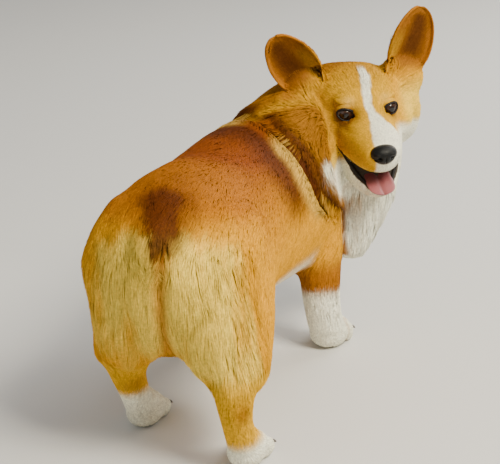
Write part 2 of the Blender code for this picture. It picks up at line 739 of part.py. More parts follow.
def coat_locks(body):
    """The long coat of the breeches, the bib, the cheeks and the tail."""
    bm = bmesh.new()
    bm.from_mesh(body.data)
    tree = BVHTree.FromBMesh(bm)
    bm.free()
    draw = random.Random(7)
    locks = []
    for side, shift_x, shift_y in HIND_FEET.values():
        foot = (BREECH_FOOT[0] * side, BREECH_FOOT[1])
        lean = (BREECH_LEAN[0] * side, BREECH_LEAN[1] * shift_y / BREECH_TIERS[0][0])
        locks += tiers_of_locks(tree, BREECH_TIERS, foot, lean, (0, 1, 0), -side, draw)
    locks += tiers_of_locks(tree, BIB_TIERS, BIB_FOOT, (0, 0), (-1, 0, 0), 1, draw)
    turned = HEAD.to_3x3()
    for side in (1, -1):
        for back, height, length in CHEEK_LOCKS:
            start = HEAD @ Vector((0.0, back, height))
            hit = tree.ray_cast(start, turned @ Vector((side, 0, 0)), CHEEK_REACH)[0]
            bend = draw.uniform(-LOCK_BEND, LOCK_BEND)
            lie = turned @ Vector(mirrored(CHEEK_LIE, side))
            if hit:
                locks.append(lock(tree, hit, lie, length, CHEEK_WIDTH, bend))
    for x, y in TAIL_LOCKS:
        hit = tree.ray_cast(Vector((x, y, OVERHEAD)), Vector((0, 0, -1)))[0]
        lie = Vector((x * TAIL_LIE[0], *TAIL_LIE[1:]))
        locks.append(lock(tree, hit, lie, *TAIL_LOCK))
    return locks


def claws():
    """A small cone in front of each toe, its root inside it."""
    found = []
    root_radius, tip_radius, length = CLAW
    for side, ankle, radii, toe_out in ankles().values():
        for place in toes(side, ankle, radii, toe_out):
            bm = bmesh.new()
            bmesh.ops.create_cone(
                bm, cap_ends=True, cap_tris=True, segments=4,
                radius1=root_radius, radius2=tip_radius, depth=length)
            mesh = bpy.data.meshes.new("claw")
            bm.to_mesh(mesh)
            bm.free()
            ahead = TOE_RADII[1] + length * CLAW_REACH
            reach = Matrix.Translation((0, -ahead, TOE_RADII[2] * CLAW_HEIGHT))
            mesh.transform(place @ reach @ Matrix.Rotation(CLAW_SLOPE, 4, "X"))
            found.append(new_object("claw", mesh))
    return found


def with_locks(body):
    """The body with its locks and claws, joined into one closed skin."""
    gathered = bpy.data.collections.new("locks")
    for piece in coat_locks(body) + claws():
        bpy.context.scene.collection.objects.unlink(piece)
        gathered.objects.link(piece)
    union = body.modifiers.new("Locks", "BOOLEAN")
    union.operation = "UNION"
    union.solver = "MANIFOLD"
    union.operand_type = "COLLECTION"
    union.collection = gathered
    made = evaluated_copy(body, "dog")
    remove(body, *gathered.objects)
    bpy.data.collections.remove(gathered)
    return largest_body(made)


def ankles():
    """Each foot's side, its ankle on the floor, the size of its paw and how far it turns out."""
    found = {}
    for foot, (side, shift_x, shift_y) in HIND_FEET.items():
        section = moved(HIND_SHANK, side, shift_x, shift_y, THIGH[0][2])[-1]
        found["hind_" + foot] = (side, section[:2], HIND_PAW, HIND_TOE_OUT)
    for foot, (side, shift_x, shift_y) in FORE_FEET.items():
        section = moved(FORELEG, side, shift_x, shift_y, SHOULDER[0][2])[-1]
        found["fore_" + foot] = (side, section[:2], FORE_PAW, FORE_TOE_OUT)
    return found


def whole_dog():
    """The dog in one closed skin, without its ears and with the mouth still shut by flesh."""
    body = blended("body", body_forms(), BODY_VOXEL, BODY_SOFTENING)
    head = blended("head", head_forms(), HEAD_VOXEL, HEAD_SOFTENING)
    head.data.transform(HEAD)
    feet = []
    for side, ankle, radii, toe_out in ankles().values():
        feet += paw_forms(side, ankle, radii, toe_out)
    whole = blended("whole", [body, head, *feet], WHOLE_VOXEL, WHOLE_SOFTENING)
    thin = whole.modifiers.new("Fewer", "DECIMATE")
    thin.ratio = WHOLE_SHARE
    made = evaluated_copy(whole, "dog")
    remove(whole)
    return made


def eye_place(side):
    """The frame of an eye: its middle, with -Y the way that it looks."""
    return (
        HEAD
        @ Matrix.Translation(mirrored(EYE, side))
        @ Matrix.Rotation(EYE_TURN * side, 4, "Z")
        @ Matrix.Rotation(-EYE_SLANT * side, 4, "Y")
    )


def in_head(obj):
    obj.data.transform(HEAD)
    return obj


def add_face(head):
    """Lids, sockets, the hollow that holds the nose and the open mouth, cut into the blended head."""
    made = []
    for side in (1, -1):
        lids = ellipsoid("lids", (0, 0, 0), (EYE_RADIUS + LID_THICKNESS,) * 3, None, 18, 12)
        lids.data.transform(eye_place(side))
        head = cut(head, lids, "UNION")
    for side, name in ((1, "left"), (-1, "right")):
        half_width, half_height = EYE_OPENING
        radii = (half_width, EYE_RADIUS * SLIT_DEPTH, half_height)
        slit = ellipsoid("slit", (0, -EYE_RADIUS, 0), radii, None, 14, 10)
        slit.data.transform(eye_place(side))
        head = cut(head, slit, "DIFFERENCE")
        socket = ellipsoid("socket", (0, 0, 0), (EYE_RADIUS + GAP,) * 3, None, 14, 8)
        socket.data.transform(eye_place(side))
        head = cut(head, socket, "DIFFERENCE")
        ball = ellipsoid("eye_" + name, (0, 0, 0), (EYE_RADIUS,) * 3, None, 14, 8)
        ball.data.transform(eye_place(side))
        made.append(ball)
    hollow = in_head(ellipsoid("hollow", NOSE[:3], [r + GAP for r in NOSE[3:]], None, 14, 8))
    head = cut(head, hollow, "DIFFERENCE")
    nose = ellipsoid("nose", NOSE[:3], NOSE[3:], None, 14, 8)
    for side in (1, -1):
        pit = ellipsoid("pit", mirrored(NOSTRIL[:3], side), NOSTRIL[3:], None, 8, 6)
        nose = cut(nose, pit, "DIFFERENCE")
    made.append(in_head(nose))
    return head, made


def part_ears(dog):
    made = []
    for name in EARS:
        dog = cut(dog, in_head(ear(name)), "UNION")
    for name in EARS:
        root, axis, across, opening, length = ear_frame(name)
        # the ear's frame: X across, Y out of the cup, Z to the tip
        rows = [(*row, at) for row, at in zip(zip(across, opening, axis), root)]
        place = HEAD @ Matrix([*rows, (0, 0, 0, 1)])
        outline = rectangle(*EAR_PART_DEPTHS, *(length * share for share in EAR_SPAN))
        part, dog = part_off(dog, "ear_" + name, outline, -EAR_PART_HALF, EAR_PART_HALF, place)
        made.append(part)
    return dog, made


def part_head(dog):
    """The head with its face, the lower jaw and the tongue in its bed."""
    nape = HEAD @ Matrix.Rotation(NECK_SIDE, 4, "Z")
    head, dog = part_off(dog, "head", HEAD_PART, *HEAD_PART_SIDES, nape)
    head, made = add_face(head)
    mouth = prism("mouth", MOUTH, -MOUTH_HALF, MOUTH_HALF, HEAD)
    head = cut(head, mouth, "DIFFERENCE")
    jaw, head = part_off(head, "lower_jaw", JAW_PART, -JAW_PART_HALF, JAW_PART_HALF, HEAD)
    tilt = Matrix.Rotation(JAW_SLOPE, 4, "X")
    bed = in_head(ellipsoid("bed", TONGUE[:3], [r + TONGUE_GAP for r in TONGUE[3:]], tilt, 16, 8))
    head = cut(head, bed, "DIFFERENCE", keep_cutter=True)
    jaw = cut(jaw, bed, "DIFFERENCE")
    tongue = ellipsoid("tongue", TONGUE[:3], TONGUE[3:], tilt, 16, 8)
    groove = ellipsoid("groove", TONGUE_GROOVE[:3], TONGUE_GROOVE[3:], tilt, 6, 6)
    tongue = in_head(cut(tongue, groove, "DIFFERENCE"))
    return dog, [*made, largest_body(head), largest_body(jaw), tongue]


def part_leg(dog, foot, side, ankle):
    """One paw, the leg over it and, behind, the thigh."""
    x, y = ankle
    low, high = x - LEG_HALF, x + LEG_HALF
    paw_name = foot.replace("hind", "hind_paw").replace("fore", "forepaw")
    box = rectangle(y - PAW_REACH[0], y + PAW_REACH[1], FLOOR, PAW_TOP)
    paw, dog = part_off(dog, paw_name, box, low, high)
    if foot.startswith("fore"):
        box = rectangle(y - FORELEG_REACH, y + FORELEG_REACH, LEG_FOOT, FORELEG_TOP)
        leg, dog = part_off(dog, foot.replace("fore", "foreleg"), box, low, high)
        return dog, [paw, leg]
    inner = GAP / 2
    sides = (inner, FLANK) if side > 0 else (-FLANK, -inner)
    shift_x, shift_y = HIND_FEET[foot.replace("hind_", "")][1:]
    knee = (0.0, HIND_SHANK[0][1], HIND_LEG_TOP, 0.0, 0.0)
    hock = moved([knee], side, shift_x, shift_y, THIGH[0][2])[0][1]
    outline = [
        (y - HIND_ANKLE_REACH, LEG_FOOT),
        (y + HIND_ANKLE_REACH, LEG_FOOT),
        (hock + HOCK_REACH[1], HIND_LEG_TOP),
        (hock - HOCK_REACH[0], HIND_LEG_TOP),
    ]
    leg, dog = part_off(dog, foot.replace("hind", "hind_leg"), outline, *sides)
    box = rectangle(*THIGH_BOX, THIGH_TOP)
    thigh, dog = part_off(dog, foot.replace("hind", "thigh"), box, *sides)
    return dog, [paw, leg, thigh]


def whole_and_parts():
    dog = with_locks(whole_dog())
    dog, parts = part_ears(dog)
    dog, made = part_head(dog)
    parts += made
    neck, dog = part_off(dog, "neck", NECK_PART, *NECK_PART_SIDES)
    parts.append(neck)
    for foot, (side, ankle, *_) in ankles().items():
        dog, made = part_leg(dog, foot, side, ankle)
        parts += made
    tail, dog = part_off(dog, "tail", TAIL_PART, -TAIL_PART_HALF, TAIL_PART_HALF)
    dog.name = "torso"
    return [*parts, tail, dog]


def paint(obj, colour, roughness):
    material = bpy.data.materials.new(obj.name)
    material.use_nodes = True
    shader = material.node_tree.nodes["Principled BSDF"]
    shader.inputs["Base Color"].default_value = (*colour, 1)
    shader.inputs["Roughness"].default_value = roughness
    shader.inputs["Metallic"].default_value = 0
    obj.data.materials.clear()
    obj.data.materials.append(material)


def main():
    clear_scene()
    dog = bpy.data.collections.new("pembroke_welsh_corgi")
    bpy.context.scene.collection.children.link(dog)
    for part in whole_and_parts():
        part.data.name = part.name
        part.data.transform(Matrix.Translation(-ORIGIN))
        part.data.shade_smooth()
        part.data.set_sharp_from_angle(angle=SHARP_ANGLE)
        colour, roughness = next(look for start, look in LOOKS.items() if part.name.startswith(start))
        paint(part, colour, roughness)
        bpy.context.scene.collection.objects.unlink(part)
        dog.objects.link(part)


if __name__ == "__main__":
    main()
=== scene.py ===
"""A Pembroke Welsh Corgi: one skin with a coat of mesh tufts, and the fine parts of the face.

Its forms are set out in the body's own frame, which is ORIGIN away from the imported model's.
"""

import json
import math

import bmesh
import bpy
import numpy as np
from mathutils import Matrix, Quaternion, Vector
from mathutils.bvhtree import BVHTree
from mathutils.kdtree import KDTree

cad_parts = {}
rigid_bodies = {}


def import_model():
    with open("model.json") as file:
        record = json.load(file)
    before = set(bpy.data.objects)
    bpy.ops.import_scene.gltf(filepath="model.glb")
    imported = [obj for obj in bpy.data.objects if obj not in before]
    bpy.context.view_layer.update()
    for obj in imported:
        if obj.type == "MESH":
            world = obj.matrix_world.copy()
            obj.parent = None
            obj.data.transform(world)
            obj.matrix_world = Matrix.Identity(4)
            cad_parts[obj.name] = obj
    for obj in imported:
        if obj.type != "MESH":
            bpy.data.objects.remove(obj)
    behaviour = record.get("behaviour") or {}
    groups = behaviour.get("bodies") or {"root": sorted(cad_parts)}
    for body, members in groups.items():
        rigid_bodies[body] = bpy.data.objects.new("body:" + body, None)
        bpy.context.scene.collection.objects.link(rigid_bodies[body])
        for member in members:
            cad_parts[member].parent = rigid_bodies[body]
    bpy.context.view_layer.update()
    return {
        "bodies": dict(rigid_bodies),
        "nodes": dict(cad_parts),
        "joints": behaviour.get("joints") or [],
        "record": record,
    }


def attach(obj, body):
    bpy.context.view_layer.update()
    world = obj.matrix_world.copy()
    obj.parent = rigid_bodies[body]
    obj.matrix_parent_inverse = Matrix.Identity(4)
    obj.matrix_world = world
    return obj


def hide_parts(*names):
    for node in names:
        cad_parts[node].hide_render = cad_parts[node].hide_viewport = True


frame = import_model()

ORIGIN = Vector((-0.0447, 0.0109, 0.0))
UP = Vector((0, 0, 1))
FORWARD = Vector((0, -1, 0))
DOWN = np.array((0.0, 0.0, -1.0))
draw = np.random.default_rng(11)

# The camera, at the photo's viewing angle
CAMERA_TURN = math.radians(196.749)
CAMERA_RISE = math.radians(18.998)
CAMERA_ROLL = math.radians(-2.552)
CAMERA_DISTANCE = 1.8839
CAMERA_LENS = 122.4
CAMERA_TARGET = Vector((-0.0062, -0.054, 0.15)) - ORIGIN


def make_camera():
    back = Vector((
        math.sin(CAMERA_TURN) * math.cos(CAMERA_RISE),
        -math.cos(CAMERA_TURN) * math.cos(CAMERA_RISE),
        math.sin(CAMERA_RISE),
    ))
    data = bpy.data.cameras.new("camera")
    data.lens = CAMERA_LENS
    data.sensor_width = 36.0
    camera = bpy.data.objects.new("camera", data)
    camera.location = CAMERA_TARGET + back * CAMERA_DISTANCE
    camera.rotation_mode = "QUATERNION"
    camera.rotation_quaternion = Quaternion(back, CAMERA_ROLL) @ (-back).to_track_quat("-Z", "Y")
    bpy.context.scene.collection.objects.link(camera)
    bpy.context.scene.camera = camera


make_camera()

# The head stands in its own frame: it faces -Y, +X is the dog's left, and the origin is mid-skull
HEAD = (
    Matrix.Translation((-0.101, -0.18, 0.272))
    @ Matrix.Rotation(math.radians(208.8), 4, "Z")
    @ Matrix.Rotation(math.radians(9), 4, "X")
    @ Matrix.Rotation(math.radians(-2.5), 4, "Y")
)
NAPE = HEAD @ Matrix.Rotation(math.radians(20), 4, "Z")


def mm(*rows):
    """Rows of measures in millimetres, as rows in metres."""
    return [tuple(round(value / 1000, 7) for value in row) for row in rows]


# Sections of the body and then of the head: the middle, the half width and the half height
TORSO = mm(
    (0, 258, 180, 20, 28), (0, 240, 184, 60, 66), (0, 200, 190, 80, 86), (0, 135, 196, 86, 88),
    (0, 60, 188, 84, 87), (-2, -10, 183, 88, 90), (-8, -80, 178, 90, 92), (-20, -130, 178, 84, 88),
    (-36, -170, 176, 64, 70), (-46, -198, 172, 36, 40),
)
NECK = mm(
    (-12, -85, 194, 76, 70), (-24, -132, 212, 72, 68), (-46, -172, 236, 64, 66),
    (-74, -190, 256, 55, 58), (-96, -178, 267, 46, 46),
)
BIB = mm(
    (-116, -178, 234, 36, 31), (-109, -184, 204, 45, 39), (-93, -182, 162, 48, 42),
    (-82, -170, 122, 43, 40), (-78, -156, 90, 31, 29),
)
TAIL = mm(
    (0, 212, 246, 24, 16), (0, 238, 247, 21, 17), (0, 258, 239, 17, 14), (0, 268, 224, 10, 9),
)
THIGH = mm(
    (38, 150, 250, 30, 50), (45, 159, 220, 41, 73), (51, 169, 180, 38, 81), (56, 183, 140, 37, 69),
    (64, 203, 108, 33, 44), (69, 220, 86, 25, 27),
)
HIND_SHANK = mm(
    (66, 214, 110, 24, 30), (68, 228, 84, 20.5, 23.5), (69, 226, 56, 16.5, 19),
    (70, 216, 30, 16.5, 18.5), (70, 210, 16, 17, 18),
)
SHOULDER = mm(
    (50, -105, 215, 30, 50), (62, -106, 175, 32, 52), (66, -104, 135, 29, 40),
    (66, -100, 105, 24, 30),
)
FORELEG = mm(
    (68, -100, 130, 29, 34), (67, -98, 95, 25, 26.5), (66, -96, 60, 22.5, 22.5),
    (67, -98, 35, 21.5, 21), (68, -102, 18, 21, 21),
)
MUZZLE = mm(
    (0, -22, -12, 42, 37), (0, -46, -18, 38, 32), (0, -70, -23.5, 31, 26.5),
    (0, -90, -26.5, 25.2, 21.5), (0, -103, -28.5, 20.5, 18), (0, -110.5, -29.5, 12.5, 12),
)
LIPS = mm(
    (27, -34, -26, 13, 15), (26.5, -52, -27, 11.5, 14), (22, -70, -29, 10.5, 13.5),
    (16, -86, -31, 9.5, 14.5), (9, -99, -32.5, 8, 14),
)
LOWER_LIPS = mm(
    (26, -36, -47, 13, 13), (25.5, -52, -50, 11, 12), (21.5, -66, -56, 9.5, 10),
    (17, -78, -63.5, 8, 7), (10, -89, -69.5, 7, 6),
)
JAW = mm(
    (0, -6, -42, 41, 26), (0, -36, -56, 39, 21.5), (0, -62, -64, 31.5, 16.5),
    (0, -83, -70, 23.5, 11.8), (0, -96.5, -73, 15, 8.3),
)
# The heights where the legs begin to lean
HIP = THIGH[0][2]
SHOULDER_TOP = SHOULDER[0][2]
# Rounded masses of the body and then of the head: the middle and three radii
THROAT, FORECHEST, HAUNCH, BREECH, LOW_BREECH = mm(
    (-72, -174, 206, 56, 48, 54), (-40, -168, 205, 62, 46, 62), (44, 188, 198, 45, 58, 64),
    (47, 218, 152, 37, 38, 60), (59, 176, 112, 33, 36, 36),
)
SKULL, FOREHEAD, CHEEK, JOWL_RUFF, THROAT_RUFF, BROW, EAR_MOUND = mm(
    (0, 4, 2, 55, 56, 36.5), (0, -18, 6, 40, 34, 28), (32, -12, -20, 30, 38, 31),
    (50, 12, -24, 30, 33, 44), (24, 6, -56, 30, 34, 30), (21.5, -35, 16.5, 15.5, 12.5, 8),
    (56, 10, 14, 28, 20, 30),
)
NOSE, TONGUE = mm(
    (0, -106, -21.5, 14.8, 11.2, 11.2), (0, -85, -63.2, 15, 25, 4),
)
TONGUE_SLOPE = math.radians(17)
# Hollows pressed in the head and in the nose pad: the middle, three radii and the depth
STOP, *HEAD_HOLLOWS = mm(
    (0, -46, 12, 6, 12, 12, 1.6), (13.5, -56, 0, 5, 9, 6, 2.2), (25, -62, -8, 12, 9, 5, 1.4),
    (24, -86, -33, 8, 14, 8, -1.4), (30, -40, 18, 7, 8, 4, -1.2),
)
NOSE_GROOVE, *NOSTRILS = mm(
    (0, -11, -4.5, 0.7, 6, 6, 1.6), (7.2, -9, -1, 2.4, 6, 2.1, 4.2),
    (10.5, -6.5, -3.2, 3, 5, 1.2, 3), (9.8, -8, 3, 3.4, 5, 2.4, -0.9),
)
EYE = (0.024, -0.0412, 0.005)
EYE_RADIUS = 0.0108
EYE_OPENING = (0.0098, 0.007)
EYE_TURN = math.radians(14)
EYE_SLANT = math.radians(14)
# The mouth's upper and lower line, as (y, z), and half its width
MOUTH_UPPER = mm(
    (-46, -29), (-56, -38.5), (-66, -42.5), (-78, -47), (-92, -49), (-125, -46.5),
)
MOUTH_LOWER = mm(
    (-46, -29.2), (-56, -39.5), (-64, -44.5), (-70, -52), (-78, -58.5), (-88, -64.5), (-100, -71),
    (-125, -82),
)
MOUTH_HALF = 0.042
# Half of each lip's dark edge, from its middle to the corner, and its half thickness
LOWER_EDGE = mm(
    (0, -97.5, -70.5, 0.9), (5.2, -96.5, -70, 0.9), (10, -94.5, -68.8, 1), (13.5, -90, -66, 1.2),
    (15.7, -85.3, -63, 1.5), (18.5, -80, -59.2, 2), (22.2, -74.5, -54.5, 2.4),
    (25.6, -69, -49, 2.6), (29, -63, -43.7, 2.3), (32.2, -59, -39.5, 1.9),
    (35.6, -56.2, -33.5, 1.4), (39.2, -53, -26.2, 0.6),
)
UPPER_EDGE = mm(
    (0, -106, -47.5, 0.5), (8, -104, -47.5, 0.6), (14, -97, -47.5, 0.9), (19, -89, -46.5, 1.1),
    (24, -80, -45, 1.2), (28.5, -70, -42, 1.3), (32, -63, -37.5, 1.4), (35.6, -56.2, -32.5, 1.2),
)
# Each ear's root and tip, and the ends of its root from the inner to the outer edge
EARS = {
    "left": ((0.054, 0.006, 0.028), (0.079, 0.0, 0.0995)),
    "right": ((-0.054, 0.006, 0.028), (-0.092, 0.0, 0.086)),
}
EAR_EDGES = ((0.031, 0.0, 0.05), (0.074, 0.014, 0.006))
# The share of the length, the half width and the depth of the cup
EAR_ROWS = [
    (-0.16, 0.0165, 0.013), (0, 0.0215, 0.0135), (0.15, 0.025, 0.013), (0.32, 0.0272, 0.0118),
    (0.5, 0.0268, 0.01), (0.66, 0.0243, 0.008), (0.8, 0.0202, 0.0062), (0.91, 0.0148, 0.0044),
    (0.97, 0.0095, 0.003), (1, 0.004, 0.002),
]
EAR_THICKNESS = 0.0026
EAR_COLUMNS = 20
EAR_CURL = 0.0016
# Each leg's side and how far it leans, and each paw's half measures
HIND_FEET = ((1, -0.01, -0.07), (-1, 0.0, 0.0))
FORE_FEET = ((1, -0.022, -0.03), (-1, -0.012, 0.004))
HIND_PAW = (0.0205, 0.032, 0.0175)
FORE_PAW = (0.0235, 0.032, 0.019)
TOE_RADII = (0.0078, 0.014, 0.0104)
HIND_TOE_OUT = math.radians(2)
FORE_TOE_OUT = math.radians(3)
LOFT_SIDES = 28
TUBE_SIDES = 10
LOWEST = 0.0006


# Small tools
def new_object(name, mesh):
    obj = bpy.data.objects.new(name, mesh)
    bpy.context.scene.collection.objects.link(obj)
    return obj


def object_from(name, bm):
    mesh = bpy.data.meshes.new(name)
    bm.to_mesh(mesh)
    bm.free()
    return new_object(name, mesh)


def remove(*objects):
    for obj in objects:
        bpy.data.objects.remove(obj)


def evaluated_copy(obj, name):
    graph = bpy.context.evaluated_depsgraph_get()
    mesh = bpy.data.meshes.new_from_object(obj.evaluated_get(graph))
    mesh.transform(obj.matrix_world)
    return new_object(name, mesh)


def rework(mesh, *works):
    """Each of the works done on a mesh in turn."""
    bm = bmesh.new()
    bm.from_mesh(mesh)
    for work in works:
        work(bm)
    bm.to_mesh(mesh)
    bm.free()


def split_faces(bm):
    bmesh.ops.triangulate(bm, faces=bm.faces)


def face_outwards(bm):
    bmesh.ops.recalc_face_normals(bm, faces=bm.faces)


def weld(bm):
    bmesh.ops.remove_doubles(bm, verts=bm.verts, dist=1e-6)


def smooth_sections(sections):
    """The sections with three more between each two, on a smooth curve through them all."""
    padded = [sections[0], *sections, sections[-1]]
    found = []
    for four in zip(padded, padded[1:], padded[2:], padded[3:]):
        for t in (0.0, 0.25, 0.5, 0.75):
            found.append([
                0.5 * (2 * q + (r - p) * t + (2 * p - 5 * q + 4 * r - s) * t * t
                       + (3 * q - p - 3 * r + s) * t**3)
                for p, q, r, s in zip(*four)
            ])
    return found + [list(sections[-1])]


def grid_object(name, rows, closed=True, caps=True):
    """A mesh through rows of points, each row a loop when closed, with its ends capped."""
    bm = bmesh.new()
    loops = [[bm.verts.new(p) for p in row] for row in rows]
    count = len(rows[0])
    for first, second in zip(loops, loops[1:]):
        for k in range(count if closed else count - 1):
            after = (k + 1) % count
            bm.faces.new((first[k], first[after], second[after], second[k]))
    if caps:
        bm.faces.new(reversed(loops[0]))
        bm.faces.new(loops[-1])
    face_outwards(bm)
    return object_from(name, bm)


def circle(sides):
    return [2 * math.pi * k / sides for k in range(sides)]


def ellipse(centre, wide, high, half_width, half_height, sides):
    return [
        centre + wide * (half_width * math.cos(t)) + high * (half_height * math.sin(t))
        for t in circle(sides)
    ]


def way_along(points, i):
    return (points[min(i + 1, len(points) - 1)] - points[max(i - 1, 0)]).normalized()


def loft(name, sections, upright):
    """A closed tube through ellipses. upright is the way that each section's half height points."""
    found = smooth_sections(sections)
    centres = [Vector(section[:3]) for section in found]
    rows = []
    for i, section in enumerate(found):
        along = way_along(centres, i)
        side = along.cross(upright).normalized()
        rows.append(ellipse(centres[i], side, side.cross(along), *section[3:], LOFT_SIDES))
    return grid_object(name, rows)


def ellipsoid(name, form, side=1, frame=None, turn=Matrix(), detail=(24, 14)):
    """A rounded form from its middle and radii, mirrored by side and then placed by frame."""
    bm = bmesh.new()
    bmesh.ops.create_uvsphere(bm, u_segments=detail[0], v_segments=detail[1], radius=1)
    obj = object_from(name, bm)
    x, y, z, *radii = form
    obj.data.transform(Matrix.Translation((x * side, y, z)) @ turn @ Matrix.Diagonal((*radii, 1)))
    if frame is not None:
        obj.data.transform(frame)
    return obj


def tube(name, points, radii):
    """A round closed tube along points, as thick at each as radii says."""
    rows = []
    side = None
    for i, point in enumerate(points):
        along = way_along(points, i)
        side = (side - along * side.dot(along)).normalized() if side else along.orthogonal().normalized()
        up = along.cross(side)
        rows.append([
            point + (side * math.cos(t) + up * math.sin(t)) * radii[i] for t in circle(TUBE_SIDES)
        ])
    return grid_object(name, rows)


def joined(name, pieces):
    bm = bmesh.new()
    for piece in pieces:
        bm.from_mesh(piece.data)
    remove(*pieces)
    return object_from(name, bm)


def blended(name, pieces, voxel, softening):
    rough = joined(name + "_rough", pieces)
    remesh = rough.modifiers.new("Blend", "REMESH")
    remesh.mode = "VOXEL"
    remesh.voxel_size = voxel
    smooth = rough.modifiers.new("Soften", "SMOOTH")
    smooth.factor = 0.5
    smooth.iterations = softening
    obj = evaluated_copy(rough, name)
    remove(rough)
    return obj


def cut(obj, cutter, operation):
    modifier = obj.modifiers.new(operation, "BOOLEAN")
    modifier.operation = operation
    modifier.solver = "MANIFOLD"
    modifier.object = cutter
    name = obj.name
    made = evaluated_copy(obj, name + "_cut")
    remove(obj, cutter)
    made.name = name
    return made


def mirrored(values, side):
    return (values[0] * side, *values[1:])


def moved(sections, side, shift, top):
    """Sections on one side of the body, shifted more the lower they lie, as a leg swings."""
    found = []
    for x, y, z, half_width, half_height in sections:
        share = step(top, 0, z)
        found.append((x * side + shift[0] * share, y + shift[1] * share, z, half_width, half_height))
    return found


def read(items, name, width, kind=float):
    """A value of all the items, as the rows of an array."""
    found = np.empty(len(items) * width, kind)
    items.foreach_get(name, found)
    return found.reshape(-1, width)


def coordinates(mesh):
    return read(mesh.vertices, "co", 3)


def vertex_normals(mesh):
    return read(mesh.vertex_normals, "vector", 3, np.float32).astype(float)


def triangles(mesh):
    mesh.calc_loop_triangles()
    return read(mesh.loop_triangles, "vertices", 3, np.int32)


def set_points(mesh, points):
    mesh.vertices.foreach_set("co", points.ravel())


def tree_of(points, tris):
    return BVHTree.FromPolygons([Vector(p) for p in points], tris.tolist())


def place(points, matrix):
    m = np.array(matrix)
    return points @ m[:3, :3].T + m[:3, 3]


def unit(vectors):
    return vectors / np.maximum(np.linalg.norm(vectors, axis=1, keepdims=True), 1e-9)


def step(low, high, x):
    """0 at low, 1 at high, smooth between."""
    t = np.clip((x - low) / (high - low), 0, 1)
    return t * t * (3 - 2 * t)


def blob(points, centre, radii):
    """1 at the centre, falling to 0 at about one and a half times the radii."""
    return np.exp(-(((points - np.array(centre)) / np.array(radii)) ** 2).sum(1) * 1.4)


def ripple(points, scale, seed=0.0):
    """Smooth waves over the body, between about -1 and 1."""
    x, y, z = (points / scale).T
    return (
        np.sin(x * 1.7 + y * 0.9 + seed) * np.cos(z * 1.3 - x * 0.6 + seed * 2)
        + 0.6 * np.sin(y * 2.9 - z * 2.1 + seed * 3) * np.cos(x * 2.3 + z * 1.1)
        + 0.4 * np.sin(x * 5.1 + z * 4.3 + seed * 5) * np.cos(y * 4.7 - x * 1.9)
    ) / 1.6


# The outer form, out to the coat's tips
def paws():
    """The place and the half measures of each paw."""
    found = []
    for feet, leg, top, radii, turn in (
        (HIND_FEET, HIND_SHANK, HIP, HIND_PAW, HIND_TOE_OUT),
        (FORE_FEET, FORELEG, SHOULDER_TOP, FORE_PAW, FORE_TOE_OUT),
    ):
        for side, *shift in feet:
            ankle = moved(leg, side, shift, top)[-1][:2]
            turned = Matrix.Rotation(turn * side, 4, "Z")
            found.append((Matrix.Translation((*ankle, 0)) @ turned, radii))
    return found


def toes(paw, radii):
    half_width, half_length = radii[:2]
    found = []
    for number in range(4):
        across = (number - 1.5) / 1.5
        reach = -half_length * (0.98 if abs(across) < 0.5 else 0.8)
        centre = (across * half_width * 0.66, reach, TOE_RADII[2] * 0.92)
        found.append(paw @ Matrix.Translation(centre) @ Matrix.Rotation(across * 0.22, 4, "Z"))
    return found


def paw_forms(paw, radii):
    half_width, half_length, half_height = radii
    pad = (0, -0.01, half_height * 0.86, half_width, half_length * 0.92, half_height)
    instep = (0, -0.002, half_height * 1.5, half_width * 0.8, half_length * 0.62, half_height)
    forms = [ellipsoid("paw", form, frame=paw) for form in (pad, instep)]
    return forms + [ellipsoid("toe", (0, 0, 0, *TOE_RADII), frame=toe) for toe in toes(paw, radii)]


def body_forms():
    forms = [loft("torso", TORSO, UP), loft("neck", NECK, UP), loft("bib", BIB, FORWARD)]
    forms += [ellipsoid("chest", form) for form in (THROAT, FORECHEST)]
    forms.append(loft("tail", TAIL, Vector((0, 0.6, 0.8))))
    for side, *shift in HIND_FEET:
        thigh_shift = (shift[0] * 0.8, shift[1] * 0.55)
        forms.append(loft("thigh", moved(THIGH, side, thigh_shift, HIP), FORWARD))
        forms.append(loft("shank", moved(HIND_SHANK, side, shift, HIP), FORWARD))
        forms.append(ellipsoid("haunch", HAUNCH, side))
        breech = moved([BREECH[:5]], side, thigh_shift, HIP)[0][:3]
        forms.append(ellipsoid("breech", (*breech, *BREECH[3:])))
    forms.append(ellipsoid("low_breech", LOW_BREECH))
    for side, *shift in FORE_FEET:
        forms.append(loft("shoulder", moved(SHOULDER, side, shift, SHOULDER_TOP), FORWARD))
        forms.append(loft("foreleg", moved(FORELEG, side, shift, SHOULDER_TOP), FORWARD))
    return forms


def eye_place(side):
    """The frame of an eye: its middle, with -Y the way that it looks."""
    return (
        HEAD
        @ Matrix.Translation(mirrored(EYE, side))
        @ Matrix.Rotation(EYE_TURN * side, 4, "Z")
        @ Matrix.Rotation(-EYE_SLANT * side, 4, "Y")
    )


def head_forms():
    forms = [loft("muzzle", MUZZLE, UP), loft("jaw", JAW, UP)]
    forms += [ellipsoid("skull", form) for form in (SKULL, FOREHEAD)]
    for side in (1, -1):
        forms += [loft("lips", [mirrored(row, side) for row in lip], UP) for lip in (LIPS, LOWER_LIPS)]
        forms += [
            ellipsoid("mass", form, side) for form in (CHEEK, JOWL_RUFF, THROAT_RUFF, BROW, EAR_MOUND)
        ]
    return forms


def ear_frame(name):
    """An ear's frame, with X across, Y out of the cup and Z to the tip, and its length."""
    root, tip = (Vector(v) for v in EARS[name])
    side = 1 if root.x > 0 else -1
    inner, outer = (Vector(mirrored(v, side)) for v in EAR_EDGES)
    axis = (tip - root).normalized()
    across = outer - inner
    across = (across - axis * across.dot(axis)).normalized()
    opening = axis.cross(across) * side
    if opening.y > 0:
        opening = -opening
    rows = [(*row, at) for row, at in zip(zip(across, opening, axis), root)]
    return HEAD @ Matrix([*rows, (0, 0, 0, 1)]), (tip - root).length


